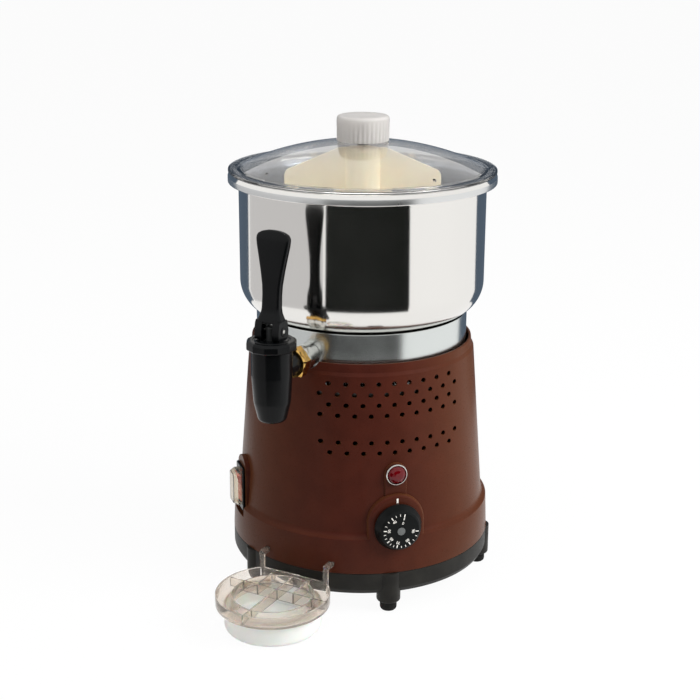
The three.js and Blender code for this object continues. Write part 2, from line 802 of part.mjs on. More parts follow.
// Gear motor under the deck: case, cover, wheel on the drive shaft, pinion on the motor's rotor.
function makeGearMotor() {
  const top = deckUnderside - seatGap;
  const foot = top - gearboxWall - gearboxCavity;
  const outer = joined(
    solid(rod(gearboxRadius, foot, top)),
    solid(rod(gearboxNose, foot, top).translate(0, motorOffset, 0)),
  );
  const inner = joined(
    solid(rod(gearboxRadius - gearboxWall, foot - overrun, top - gearboxWall)),
    solid(rod(gearboxNose - gearboxWall, foot - overrun, top - gearboxWall).translate(0, motorOffset, 0)),
  );
  const shaftHole = solid(rod(shaftRadius + slipGap, foot - overrun, top + overrun, smallSides));
  addPart('gearbox_case', cut(outer, inner, shaftHole), zincSteel);
  const coverTop = foot - seatGap;
  const coverFoot = coverTop - gearboxWall;
  const cover = joined(
    solid(rod(gearboxRadius, coverFoot, coverTop)),
    solid(rod(gearboxNose, coverFoot, coverTop).translate(0, motorOffset, 0)),
  );
  const rotorHole = solid(rod(rotorShaft + slipGap, coverFoot - overrun, coverTop + overrun, smallSides)
    .translate(0, motorOffset, 0));
  addPart('gearbox_cover', cut(cover, rotorHole), zincSteel);

  const gearFoot = foot + (gearboxCavity - gearWidth) / 2;
  const gearTop = gearFoot + gearWidth;
  const wheel = cut(
    solid(raised(gearOutline(wheelTeeth, wheelTeeth / 4), gearFoot, gearTop)),
    solid(rod(shaftRadius + shaftGap, gearFoot - overrun, gearTop + overrun, smallSides)),
  );
  addPart('drive_gear', wheel, brass);
  const shaftFoot = gearFoot - overrun;
  const shaft = joined(
    solid(rod(shaftRadius, shaftFoot, hubCeiling, smallSides)),
    solid(rod(shaftRadius + 2 * gearModule, shaftFoot, gearFoot - shaftGap, smallSides)),
    solid(rod(hexRadius, hubCeiling - overrun, shaftTop, 6).rotateZ(radians(paddleAzimuth))),
  );
  addPart('drive_shaft', shaft, polishedSteel);

  const motorTop = coverFoot - seatGap;
  const motorFoot = motorTop - motorLength;
  const motor = solid(turned([
    [rotorShaft + slipGap, motorTop - motorWall],
    [rotorShaft + slipGap, motorTop],
    [motorRadius, motorTop],
    [motorRadius, motorFoot],
    [rotorShaft + slipGap, motorFoot],
    [rotorShaft + slipGap, motorFoot + motorWall],
    [motorRadius - motorWall, motorFoot + motorWall],
    [motorRadius - motorWall, motorTop - motorWall],
  ], partSides).translate(0, motorOffset, 0));
  addPart('motor_case', motor, zincSteel);
  const coreFoot = (motorTop + motorFoot - rotorLength) / 2;
  const rotor = joined(
    solid(turned([
      [0, motorFoot - overrun],
      [rotorShaft, motorFoot - overrun],
      [rotorShaft, coreFoot],
      [rotorRadius, coreFoot],
      [rotorRadius, coreFoot + rotorLength],
      [rotorShaft, coreFoot + rotorLength],
      [rotorShaft, gearTop],
      [0, gearTop],
    ], smallSides)),
    solid(raised(gearOutline(pinionTeeth, pinionTeeth / 4 + 1 / 2), gearFoot, gearTop)),
  );
  const spun = new THREE.Group();
  spun.position.set(0, motorOffset, 0);
  machine.add(spun);
  addPart('motor_rotor', rotor, zincSteel, spun);
}

// Cream mixing paddle: a hub that drops over the column onto the shaft's hexagon, with two windowed wings.
function makePaddle() {
  const hub = solid(turned([
    [0, hubTop],
    [hubRadius, hubTop],
    [hubRadius, hubFoot],
    [hubBore, hubFoot],
    [hubBore, hubCeiling],
    [0, hubCeiling],
  ], partSides));
  const tipTop = wingTip - wingTipRadius;
  const wing = raised([
    [-hubRadius, hubTop],
    [-wingReach + wingTipRadius / 2, wingTip],
    [-wingReach, tipTop],
    [-wingReach, hubFoot + wingTipRadius],
    [-wingReach + wingTipRadius, hubFoot],
    [wingReach - wingTipRadius, hubFoot],
    [wingReach, hubFoot + wingTipRadius],
    [wingReach, tipTop],
    [wingReach - wingTipRadius / 2, wingTip],
    [hubRadius, hubTop],
  ], -wingThickness / 2, wingThickness / 2).rotateX(Math.PI / 2);
  const windowOffset = (hubRadius + wingReach) / 2;
  const windows = [-windowOffset, windowOffset].flatMap((x) => [0, 1, 2].map((row) => {
    const foot = windowFoot + row * (windowSize + windowGap);
    return solid(block(x - windowSize / 2, x + windowSize / 2, -overrun - wingThickness, wingThickness + overrun,
      foot, foot + windowSize));
  }));
  const bore = solid(rod(hubBore, hubFoot - overrun, hubCeiling));
  const socket = solid(rod(hexRadius + seatGap, hubCeiling - overrun, shaftTop + seatGap, 6));
  const paddle = cut(joined(hub, cut(solid(wing), ...windows)), bore, socket);
  const turnedGroup = new THREE.Group();
  turnedGroup.rotation.z = radians(paddleAzimuth);
  machine.add(turnedGroup);
  addPart('mixing_paddle', paddle, creamPlastic, turnedGroup);
}

// Height of the dome's outer or inner sphere at a radius.
const domeHeight = (radius, inset) => domeTop - domeRadius + Math.sqrt((domeRadius - inset) ** 2 - radius ** 2);

// Clear domed lid with a flat flange and a skirt inside the rim.
function makeLid() {
  const steps = 4;
  const outerDome = Array.from({ length: steps + 1 }, (_, i) => {
    const radius = domeEdge * (1 - i / steps);
    return [radius, domeHeight(radius, 0)];
  });
  const innerEdge = domeEdge - lidWall;
  const innerDome = Array.from({ length: steps + 1 }, (_, i) => {
    const radius = (innerEdge * i) / steps;
    return [radius, domeHeight(radius, lidWall)];
  });
  const lid = solid(turned([
    [lidRadius, lidSeat],
    [lidRadius, flangeTop - lidFlange / 4],
    [lidRadius - lidFlange / 4, flangeTop],
    [domeEdge + lidWall, flangeTop],
    ...outerDome,
    ...innerDome,
    [innerEdge, lidSeat],
    [skirtRadius - skirtWall, lidSeat],
    [skirtRadius - skirtWall, rimTop - skirtDrop],
    [skirtRadius, rimTop - skirtDrop],
    [skirtRadius, lidSeat],
  ]));
  const screwHole = solid(rod(knobScrewRadius + seatGap, rimTop, domeTop + overrun, tinySides));
  const steam = rod(steamHoleRadius, rimTop, domeTop, tinySides);
  const steamHoles = steamHoleAzimuths.map((azimuth) => solid(onCircle(steam, steamHoleCircle, azimuth)));
  addPart('lid', cut(lid, screwHole, ...steamHoles), clearPlastic);
}

// Fluted clear knob, hollow underneath, and the screw that holds it to the dome.
function makeKnob() {
  const foot = domeTop + seatGap;
  const top = foot + knobHeight;
  const outline = [];
  const pointsPerFlute = 2;
  for (let i = 0; i < knobFlutes * pointsPerFlute; i += 1) {
    const angle = (i * 2 * Math.PI) / (knobFlutes * pointsPerFlute);
    const radius = knobRadius - (knobFluteDepth * (1 - Math.cos(knobFlutes * angle))) / 2;
    outline.push([radius * Math.cos(angle), radius * Math.sin(angle)]);
  }
  const hollow = solid(turned([
    [knobBossRadius, foot - overrun],
    [knobRadius - knobWall, foot - overrun],
    [knobRadius - knobWall, top - knobWall],
    [knobBossRadius, top - knobWall],
  ], partSides));
  const thread = solid(rod(knobScrewRadius + seatGap, foot - overrun, top - 2 * knobWall, tinySides));
  addPart('lid_knob', cut(solid(raised(outline, foot, top)), hollow, thread), clearPlastic);
  const under = domeTop - lidWall - seatGap;
  const screw = solid(turned([
    [0, under - knobScrewHeadHeight],
    [knobScrewHead, under - knobScrewHeadHeight],
    [knobScrewHead, under],
    [knobScrewRadius, under],
    [knobScrewRadius, top - 3 * knobWall],
    [0, top - 3 * knobWall],
  ], tinySides));
  addPart('knob_screw', screw, zincSteel);
}

// Tap body: valve chamber, seat, tapered outlet and the stub that the inlet tube enters.
function makeTapBody() {
  const taper = valveSeat - tapFoot;
  const shell = solid(turned([
    [0, tapFoot],
    [tapMouthRadius, tapFoot],
    [tapMouthRadius + taper / 6, tapFoot + taper / 10],
    [tapWaistRadius - taper / 16, tapFoot + taper / 2.6],
    [tapWaistRadius, valveSeat - taper / 5],
    [tapBodyRadius, valveSeat + taper / 2],
    [tapBodyRadius, tapBodyTop],
    [0, tapBodyTop],
  ], partSides).translate(0, -tapReach, 0));
  const stub = solid(onWall(rod(stubRadius, stubStart, tapReach - tapBodyRadius / 2), 0, inletHeight));
  const chamber = solid(rod(chamberRadius, valveSeat, tapBodyTop + overrun).translate(0, -tapReach, 0));
  const outlet = solid(rod(outletRadius, tapFoot - overrun, valveSeat + overrun, smallSides).translate(0, -tapReach, 0));
  const socket = solid(onWall(rod(inletRadius + seatGap, stubStart - overrun, inletEnd + seatGap), 0, inletHeight));
  const passage = solid(onWall(rod(inletBore, stubStart, tapReach, smallSides), 0, inletHeight));
  addPart('tap_body', cut(joined(shell, stub), chamber, outlet, socket, passage), blackPlastic);
}

// Inlet tube with its head inside the bowl, its boss outside the jacket, and the loose brass nut.
function makeTapInlet() {
  const headEnd = inletInner + inletHead;
  const bossStart = jacketRadius + seatGap;
  const tube = solid(onWall(turned([
    [inletBore, inletInner],
    [inletBossRadius, inletInner],
    [inletBossRadius, headEnd - seatGap],
    [inletRadius, headEnd - seatGap],
    [inletRadius, bossStart],
    [inletBossRadius, bossStart],
    [inletBossRadius, inletBossEnd],
    [inletCollarRadius, inletBossEnd],
    [inletCollarRadius, nutStart - seatGap],
    [inletRadius, nutStart - seatGap],
    [inletRadius, inletEnd],
    [inletBore, inletEnd],
  ], partSides), 0, inletHeight));
  addPart('tap_inlet_tube', tube, polishedSteel);
  const nut = cut(
    solid(onWall(rod(nutFlats / Math.cos(Math.PI / 6), nutStart, nutStart + nutLength, 6)
      .rotateZ(radians(30 + nutTurn)), 0, inletHeight)),
    solid(onWall(rod(inletRadius + seatGap, nutStart - overrun, nutStart + nutLength + overrun), 0, inletHeight)),
  );
  addPart('tap_nut', nut, brass);
}

// Bonnet screwed over the tap body's top, with a hole for the plunger's stem.
function makeBonnet() {
  const bevel = (bonnetTop - bonnetFoot) / 6;
  const bonnet = cut(
    solid(turned([
      [0, bonnetFoot],
      [bonnetRadius - bevel, bonnetFoot],
      [bonnetRadius, bonnetFoot + bevel],
      [bonnetRadius, bonnetTop - bevel],
      [bonnetRadius - bevel, bonnetTop],
      [0, bonnetTop],
    ], bonnetSides)),
    solid(rod(tapBodyRadius + seatGap, bonnetFoot - overrun, bonnetRoof)),
    solid(rod(stemRadius + shaftGap, bonnetFoot, bonnetTop + overrun)),
  );
  const placed = new THREE.Group();
  placed.position.set(0, -tapReach, 0);
  machine.add(placed);
  addPart('tap_bonnet', bonnet, blackPlastic, placed);
}

// Plunger: rubber-faced valve on a stem that ends in the eye of the lever's pin, and its spring.
function makePlunger() {
  const eye = pinHeight + 2 * pinRadius;
  const valveFoot = valveSeat + seatGap;
  const valve = solid(turned([
    [0, valveFoot - valveThickness / 3],
    [outletRadius - overrun, valveFoot - valveThickness / 3],
    [outletRadius - overrun / 2, valveFoot],
    [valveRadius, valveFoot],
    [valveRadius, valveFoot + valveThickness],
    [stemRadius + seatGap, valveFoot + valveThickness],
    [stemRadius + seatGap, valveFoot + valveThickness / 2],
    [0, valveFoot + valveThickness / 2],
  ], partSides).translate(0, -tapReach, 0));
  addPart('valve_disc', valve, blackRubber);
  const stem = cut(
    solid(rod(stemRadius, valveFoot + valveThickness / 2 + seatGap, eye, partSides).translate(0, -tapReach, 0)),
    solid(rod(pinRadius + shaftGap, -stemRadius - overrun, stemRadius + overrun, smallSides)
      .rotateY(Math.PI / 2).translate(0, -tapReach, pinHeight)),
  );
  addPart('tap_plunger', stem, greyPlastic);

  const springFoot = valveFoot + valveThickness + seatGap + springWire;
  const springTop = bonnetRoof - seatGap - springWire;
  class Helix extends THREE.Curve {
    getPoint(share) {
      const angle = share * springTurns * 2 * Math.PI;
      return new THREE.Vector3(
        springRadius * Math.cos(angle),
        springRadius * Math.sin(angle) - tapReach,
        springFoot + share * (springTop - springFoot),
      );
    }
  }
  const section = new THREE.Shape(Array.from({ length: 5 }, (_, i) => new THREE.Vector2(
    springWire * Math.cos((i * 2 * Math.PI) / 5),
    springWire * Math.sin((i * 2 * Math.PI) / 5),
  )));
  const coil = new THREE.ExtrudeGeometry(section, {
    steps: springTurns * 8,
    extrudePath: new Helix(),
    bevelEnabled: false,
  });
  addPart('tap_spring', solid(coil), zincSteel);
}

// Lever: a blade above a forked heel whose underside is a cam that lifts the plunger as it is pulled.
function makeLever() {
  const camLift = plungerLift / radians(leverTravel);
  const cam = [];
  const steps = 8;
  for (let i = 0; i <= steps; i += 1) {
    const angle = (radians(leverTravel) * i) / steps;
    const reach = leverHeelDrop - seatGap + camLift * angle;
    cam.push([
      -reach * Math.sin(angle) - camLift * Math.cos(angle),
      -reach * Math.cos(angle) + camLift * Math.sin(angle),
    ]);
  }
  const heelTop = neckHalfWidth;
  const heel = raised([
    [leverHeelDrop - overrun, -leverHeelDrop + overrun],
    [leverHeelDrop, 0],
    [bladeThickness / 2, heelTop + overrun],
    [-bladeThickness / 2, heelTop + overrun],
    [-leverHeelDrop - overrun, overrun],
    ...cam.reverse(),
    [overrun, -leverHeelDrop + seatGap],
  ], -leverHalfWidth, leverHalfWidth);
  heel.applyMatrix4(new THREE.Matrix4().makeBasis(
    new THREE.Vector3(0, 1, 0), new THREE.Vector3(0, 0, 1), new THREE.Vector3(1, 0, 0)));
  const bladeLength = leverTop - pinHeight;
  const bladeSideShares = [[1, 0.05], [1, 0.1], [0.73, 0.19], [0.53, 0.34], [0.53, 0.44], [0.79, 0.64]];
  const right = bladeSideShares.map(([share, height]) => [
    height < 0.15 ? leverHalfWidth * share : bladeHalfWidth * share,
    height * bladeLength,
  ]);
  const crownRise = bladeHalfWidth * 0.4;
  const crownShares = [[1, 0], [0.9, 0.44], [0.65, 0.76], [0.33, 0.94], [0, 1]];
  const crown = crownShares.map(([share, rise]) => [
    bladeHalfWidth * share,
    bladeLength + crownRise * (rise - 1),
  ]);
  const side = [...right, ...crown];
  const mirrored = side.slice(0, -1).reverse().map(([x, z]) => [-x, z]);
  const blade = raised([...side, ...mirrored], -bladeThickness / 2, bladeThickness / 2)
    .rotateX(Math.PI / 2 - radians(leverLean));
  const slot = block(-stemRadius - slipGap, stemRadius + slipGap, -2 * leverHeelDrop, 2 * leverHeelDrop,
    -2 * leverHeelDrop, Math.hypot(stemRadius, 2 * pinRadius) + slipGap);
  const eye = rod(pinRadius + shaftGap, -leverHalfWidth - overrun, leverHalfWidth + overrun, smallSides)
    .rotateY(Math.PI / 2);
  const lever = cut(joined(solid(heel), solid(blade)), solid(slot), solid(eye));
  const hung = new THREE.Group();
  hung.position.set(0, -tapReach, pinHeight);
  machine.add(hung);
  addPart('tap_lever', lever, blackPlastic, hung);
  const pin = rod(pinRadius, -leverHalfWidth, leverHalfWidth, smallSides).rotateY(Math.PI / 2);
  addPart('lever_pin', solid(pin), polishedSteel, hung);
}

// Drip tray: a clear grille ring with a straight back and two hooks, over a milky round cup.
function makeDripTray() {
  const tray = new THREE.Group();
  tray.position.set(0, -trayReach, 0);
  machine.add(tray);
  const inner = trayRadius - trayWall;
  const floorTop = trayFloor + trayFloorThickness;
  const ring = solid(turned([
    [traySkirtRadius - trayWall, trayFloor - traySkirtDrop],
    [traySkirtRadius, trayFloor - traySkirtDrop],
    [traySkirtRadius, trayFloor],
    [trayRadius, trayFloor],
    [trayRadius, trayTop],
    [inner, trayTop],
    [inner, floorTop],
    [traySkirtRadius, floorTop],
    [traySkirtRadius, trayTop - overrun],
    [traySkirtRadius - trayWall, trayTop - overrun],
  ], traySides));
  const behind = solid(block(-trayRadius - overrun, trayRadius + overrun, trayChord, trayRadius + overrun,
    -overrun, trayTop + overrun));
  const skirtBehind = solid(block(-trayRadius, trayRadius, trayChord - 2 * trayWall - slipGap, trayRadius,
    -overrun, trayFloor));
  const chordHalf = Math.sqrt(trayRadius ** 2 - trayChord ** 2);
  const chordWall = solid(block(-chordHalf, chordHalf, trayChord - trayWall, trayChord, trayFloor, trayTop));
  const ribY = 7;
  const ribFoot = trayFloor;
  const ribTop = trayTop - overrun / 2;
  const half = ribThickness / 2;
  const reachX = Math.sqrt(inner ** 2 - ribY ** 2);
  const crossRib = solid(block(-reachX, reachX, ribY - half, ribY + half, ribFoot, ribTop));
  const mainRib = solid(block(-half, half, -inner, trayChord - half, ribFoot, ribTop));
  const shortRibs = [-0.6, 0.5].map((share) => solid(block(
    share * chordHalf - half, share * chordHalf + half, ribY, trayChord - half, ribFoot, ribTop)));
  const post = (x) => joined(
    solid(block(x - hookWidth / 2, x + hookWidth / 2, trayChord - hookThickness, trayChord, trayFloor, hookTop)),
    solid(block(x - hookWidth / 2, x + hookWidth / 2, trayChord - hookThickness, trayReach - hookPegEnd,
      hookTop - hookPeg, hookTop)),
  );
  const grille = joined(cut(ring, behind, skirtBehind), chordWall, crossRib, mainRib, ...shortRibs,
    post(-hookOffset), post(hookOffset));
  addPart('drip_grille', grille, smokedPlastic, tray);

  const cupTop = trayFloor - seatGap;
  const cup = solid(turned([
    [0, cupFoot],
    ...arc(cupRadius - cupCorner, cupFoot + cupCorner, cupCorner, -90, 0, 3),
    [cupRadius, cupTop],
    [cupRadius - cupWall, cupTop],
    ...arc(cupRadius - cupCorner, cupFoot + cupCorner, cupCorner - cupWall, 0, -90, 3),
    [0, cupFoot + cupWall],
  ], traySides));
  const cupBehind = solid(block(-trayRadius, trayRadius, trayChord - trayWall, trayRadius, -overrun, trayTop));
  const cupBack = cut(
    solid(block(-trayRadius, trayRadius, trayChord - 2 * trayWall, trayChord - trayWall, cupFoot, cupTop)),
    cutOutside(),
  );
  addPart('drip_cup', joined(cut(cup, cupBehind), cupBack), milkyPlastic, tray);
}

// Everything outside the drip cup's outer form, used to trim its flat back wall.
function cutOutside() {
  const everything = solid(block(-2 * trayRadius, 2 * trayRadius, -2 * trayRadius, 2 * trayRadius, -overrun, 2 * trayTop));
  const form = solid(turned([
    [0, cupFoot],
    ...arc(cupRadius - cupCorner, cupFoot + cupCorner, cupCorner, -90, 0, 3),
    [cupRadius, trayTop],
    [0, trayTop],
  ], traySides));
  return everything.subtract(form);
}

// Thermostat behind the boss with its spindle, dial, capillary and bulb.
function makeThermostat() {
  const innerFace = bossReach - bossWall - bossLean * thermostatRadius;
  const backOfBoss = Math.sqrt(innerFace ** 2 - thermostatRadius ** 2) - 3 * seatGap;
  const body = cut(
    solid(onWall(rod(thermostatRadius, backOfBoss - thermostatDepth, backOfBoss), panelAzimuth, dialHeight)),
    solid(onWall(rod(spindleRadius + shaftGap, backOfBoss - thermostatDepth / 2, bossReach, smallSides),
      panelAzimuth, dialHeight)),
  );
  addPart('thermostat_body', body, greyPlastic);
  const dialBack = bossFace(dialHeight - dialRadius) + seatGap;
  const dialFace = dialBack + dialDepth;
  const spindleStart = backOfBoss - thermostatDepth / 2 + seatGap;
  const spindleEnd = dialFace - dialDepth / 3;
  const spindle = solid(onWall(rod(spindleRadius, spindleStart, spindleEnd, smallSides), panelAzimuth, dialHeight));
  addPart('thermostat_spindle', spindle, zincSteel);
  const edge = dialDepth / 6;
  const dial = cut(
    solid(onWall(turned([
      [0, dialBack],
      [dialRadius, dialBack],
      [dialRadius, dialBack + edge / 2],
      [dialFaceRadius + edge / 2, dialFace - edge],
      [dialFaceRadius - edge / 2, dialFace],
      [0, dialFace],
    ], partSides), panelAzimuth, dialHeight)),
    solid(onWall(rod(spindleRadius + shaftGap, dialBack - overrun, spindleEnd + seatGap, smallSides),
      panelAzimuth, dialHeight)),
  );
  addPart('thermostat_dial', dial, blackPlastic);
  const cap = solid(onWall(rod(dialCapRadius, dialFace + seatGap / 2, dialFace + seatGap + edge / 4, smallSides),
    panelAzimuth, dialHeight));
  addPart('dial_cap', cap, greyPlastic);

  const bulbHeight = deckUnderside - 2 * spindleRadius + overrun;
  const angle = radians(panelAzimuth);
  const out = (reach, height) => new THREE.Vector3(reach * Math.sin(angle), -reach * Math.cos(angle), height);
  const leave = backOfBoss - thermostatDepth - seatGap;
  const bend = 2 * spindleRadius;
  const path = new THREE.CatmullRomCurve3([
    out(leave, dialHeight),
    out(leave - bend, dialHeight),
    out(leave - 2 * bend, dialHeight + bend),
    out(leave - 2 * bend, (dialHeight + bulbHeight) / 2),
    out(leave - 2 * bend, bulbHeight - 2 * bend),
    out(leave - 3 * bend, bulbHeight),
    out(leave - 4 * bend, bulbHeight),
  ], false, 'catmullrom', 0.2);
  const section = new THREE.Shape(Array.from({ length: 6 }, (_, i) => new THREE.Vector2(
    (spindleRadius / 3) * Math.cos((i * Math.PI) / 3),
    (spindleRadius / 3) * Math.sin((i * Math.PI) / 3),
  )));
  const capillary = new THREE.ExtrudeGeometry(section, { steps: 14, extrudePath: path, bevelEnabled: false });
  const bulb = solid(onWall(
    rod(spindleRadius - seatGap, leave - 4 * bend - bulbLength, leave - 4 * bend + overrun, smallSides),
    panelAzimuth, bulbHeight));
  addPart('thermostat_bulb', joined(solid(capillary), bulb), copperTube);
}

// Pilot lamp: lamp body through the strip, chromed ring and red lens.
function makeLamp() {
  const body = solid(onWall(rod(lampBodyRadius, stripReach - lampBodyDepth, stripReach + seatGap, smallSides),
    panelAzimuth, lampHeight));
  addPart('lamp_body', body, greyPlastic);
  const ringFoot = stripReach + seatGap;
  const ring = solid(onWall(turned([
    [lensRadius + seatGap, ringFoot],
    [lampRingRadius, ringFoot],
    [lampRingRadius - lampRingDepth / 4, ringFoot + lampRingDepth],
    [lensRadius + seatGap, ringFoot + lampRingDepth],
  ], 24), panelAzimuth, lampHeight));
  addPart('lamp_ring', ring, polishedSteel);
  const lensFoot = ringFoot + seatGap;
  const lens = solid(onWall(turned([
    [0, lensFoot],
    [lensRadius, lensFoot],
    [lensRadius, lensFoot + lensDepth * 0.4],
    [lensRadius * 0.75, lensFoot + lensDepth * 0.8],
    [lensRadius * 0.3, lensFoot + lensDepth],
    [0, lensFoot + lensDepth],
  ], smallSides), panelAzimuth, lampHeight));
  addPart('lamp_lens', lens, redLens);
}

// Illuminated rocker switch with its frame, rear body and clear splash cover.
function makeSwitch() {
  const frameBack = padReach + seatGap;
  const frameFace = frameBack + frameThickness;
  const frame = solid(block(-frameHalfWidth, frameHalfWidth, -frameHalfHeight, frameHalfHeight, frameBack, frameFace));
  const rear = solid(block(-switchBodyHalfWidth, switchBodyHalfWidth, -switchBodyHalfHeight, switchBodyHalfHeight,
    frameBack - switchBodyDepth, frameBack + frameThickness / 2));
  const well = solid(block(-windowHalfWidth, windowHalfWidth, -windowHalfHeight, windowHalfHeight,
    frameBack - switchBodyDepth / 2, frameFace + overrun));
  const place = (shape) => shape.transform(wallMatrix(switchAzimuth, switchHeight));
  addPart('switch_body', place(cut(joined(frame, rear), well)), blackPlastic);

  const rockerHalf = windowHalfHeight - 3 * slipGap;
  const tilt = radians(rockerTravel / 2);
  const pivot = frameFace - frameThickness / 2;
  const crown = frameThickness * 2;
  const rocker = raised([
    [-rockerHalf, 0],
    [-rockerHalf * 0.45, -crown],
    [rockerHalf * 0.45, -crown],
    [rockerHalf, 0],
    [rockerHalf - crown * 0.1, crown * 0.75],
    [0, crown * 0.35],
    [-rockerHalf + crown * 0.1, crown * 0.75],
  ], -windowHalfWidth + slipGap, windowHalfWidth - slipGap);
  rocker.rotateZ(tilt);
  rocker.applyMatrix4(new THREE.Matrix4().makeBasis(
    new THREE.Vector3(0, 1, 0), new THREE.Vector3(0, 0, 1), new THREE.Vector3(1, 0, 0)));
  rocker.translate(0, 0, pivot);
  addPart('switch_rocker', place(solid(rocker)), orangeRocker);

  const coverHalfWidth = windowHalfWidth + 2;
  const coverHalfHeight = windowHalfHeight + 2;
  const coverRise = 7.9;
  const coverFoot = frameFace + seatGap;
  const inset = coverRise / 4;
  const coverSkin = 1;
  const dome = (shrink, foot, rise) => raised([
    [-coverHalfHeight + shrink, foot],
    [-coverHalfHeight + shrink, foot + rise * 0.45],
    [-coverHalfHeight + inset + shrink, foot + rise],
    [coverHalfHeight - inset - shrink, foot + rise],
    [coverHalfHeight - shrink, foot + rise * 0.45],
    [coverHalfHeight - shrink, foot],
  ], -coverHalfWidth + shrink, coverHalfWidth - shrink).applyMatrix4(new THREE.Matrix4().makeBasis(
    new THREE.Vector3(0, 1, 0), new THREE.Vector3(0, 0, 1), new THREE.Vector3(1, 0, 0)));
  const cover = cut(solid(dome(0, coverFoot, coverRise)), solid(dome(coverSkin, coverFoot - overrun, coverRise + overrun - coverSkin)));
  addPart('switch_cover', place(cover), clearPlastic);
}

// The matrix that onWall applies, as sixteen numbers in columns.
function wallMatrix(azimuth, height) {
  const angle = radians(azimuth);
  const along = new THREE.Vector3(Math.cos(angle), Math.sin(angle), 0);
  const out = new THREE.Vector3(Math.sin(angle), -Math.cos(angle), 0);
  return new THREE.Matrix4().makeBasis(along, new THREE.Vector3(0, 0, 1), out).setPosition(0, 0, height).elements;
}

// Cable gland at the back with its lock nut.
function makeGland() {
  const flangeStart = shellFootRadius - seatGap;
  const gland = solid(onWall(turned([
    [glandBore, glandInner],
    [glandThread, glandInner],
    [glandThread, flangeStart],
    [glandRadius, flangeStart],
    [glandRadius, flangeStart + glandFlange],
    [glandRadius - overrun, glandReach],
    [glandBore, glandReach],
  ], smallSides), 180, glandHeight));
  addPart('cable_gland', gland, blackPlastic);
  const nutStop = shellFootRadius - 2 * shellWall;
  const nut = cut(
    solid(onWall(rod(glandRadius, glandInner + overrun, nutStop, 6), 180, glandHeight)),
    solid(onWall(rod(glandThread + seatGap, glandInner, nutStop + overrun, partSides), 180, glandHeight)),
  );
  addPart('gland_nut', nut, blackPlastic);
}

makeBasePan();
makeFeet();
makeShell();
makeBowl();
makeJacket();
makeHeater();
makeDeck();
makeBaseScrews();
makeColumn();
makeGearMotor();
makePaddle();
makeLid();
makeKnob();
makeTapBody();
makeTapInlet();
makeBonnet();
makePlunger();
makeLever();
makeDripTray();
makeThermostat();
makeLamp();
makeSwitch();
makeGland();

// The footprint runs from the drip tray's front to the cable gland's end.
machine.position.y = (trayReach + trayRadius - glandReach) / 2;
const dispenser = new THREE.Group();
dispenser.name = 'hot_chocolate_dispenser';
dispenser.add(machine);

export default dispenser;
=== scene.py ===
import bmesh
import bpy
import numpy as np
from mathutils import Matrix, Vector


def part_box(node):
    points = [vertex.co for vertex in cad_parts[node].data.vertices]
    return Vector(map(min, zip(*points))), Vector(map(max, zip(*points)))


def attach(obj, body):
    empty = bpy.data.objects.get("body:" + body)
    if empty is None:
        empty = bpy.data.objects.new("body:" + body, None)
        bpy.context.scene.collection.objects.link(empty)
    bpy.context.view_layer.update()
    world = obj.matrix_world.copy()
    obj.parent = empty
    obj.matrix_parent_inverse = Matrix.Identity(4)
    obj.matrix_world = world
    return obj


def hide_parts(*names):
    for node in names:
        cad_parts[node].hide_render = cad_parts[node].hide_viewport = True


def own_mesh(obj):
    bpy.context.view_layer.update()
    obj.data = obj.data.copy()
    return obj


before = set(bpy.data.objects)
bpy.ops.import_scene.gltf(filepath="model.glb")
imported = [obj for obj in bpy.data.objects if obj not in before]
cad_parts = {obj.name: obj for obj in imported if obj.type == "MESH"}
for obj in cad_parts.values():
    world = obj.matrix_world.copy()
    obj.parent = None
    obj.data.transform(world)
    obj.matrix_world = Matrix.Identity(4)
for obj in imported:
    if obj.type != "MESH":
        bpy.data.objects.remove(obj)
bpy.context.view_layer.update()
bowl_low, bowl_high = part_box("bowl")
axis = np.array([(bowl_low.x + bowl_high.x) / 2, (bowl_low.y + bowl_high.y) / 2, 0])


# Base pan: a black moulded ring pan with a tapered skirt, five half-round foot columns and an upstand that
# centres the housing. Polypropylene with a satin skin; push-in rubber feet stand in the columns.
def softened(corners, radii, closed=False, steps=5):
    """An outline through the corners, each rounded by an arc that touches both its sides. The arc's centre lies
    on the corner's bisector, and its points turn evenly from one side's normal to the other's."""
    corners, outline = np.array(corners, float), []
    for i, (corner, radius) in enumerate(zip(corners, radii)):
        if radius == 0 or (not closed and i in (0, len(corners) - 1)):
            outline.append(corner[None])
            continue
        sides = np.array([corners[i - 1], corners[(i + 1) % len(corners)]]) - corner
        lengths = np.linalg.norm(sides, axis=1)
        sides /= lengths[:, None]
        half = np.arccos(np.clip(sides[0] @ sides[1], -1, 1)) / 2
        reach = min(radius / np.tan(half), 0.49 * lengths.min())
        toward = (sides[0] + sides[1]) / np.linalg.norm(sides[0] + sides[1])
        centre = corner + toward * reach / np.cos(half)
        start, end = corner + sides * reach - centre
        sweep = np.pi - 2 * half
        share = np.linspace(0, 1, steps + 1)[:, None]
        outline.append(centre + (np.sin((1 - share) * sweep) * start + np.sin(share * sweep) * end) / np.sin(sweep))
    return np.concatenate(outline)


def grid(rows, columns, closed=False):
    """Quads over rows of points that close on themselves, and with closed also from the last row to the first."""
    row = np.arange(rows if closed else rows - 1)[:, None]
    column = np.arange(columns)[None]
    after, above = (column + 1) % columns, (row + 1) % rows
    corners = [row * columns + column, row * columns + after, above * columns + after, above * columns + column]
    return np.stack(corners, -1).reshape(-1, 4)


def full_turn(steps):
    """Even angles round a circle, from 0 up to the step before the full turn."""
    return np.arange(steps) * 2 * np.pi / steps


def circled(radius, height, angle):
    """Rows of points about Z: x = radius sin a, y = -radius cos a, z = height. A row has one height, and its radius
    may change with the angle."""
    return np.stack([radius * np.sin(angle), -radius * np.cos(angle), height + 0 * angle], -1).reshape(-1, 3)


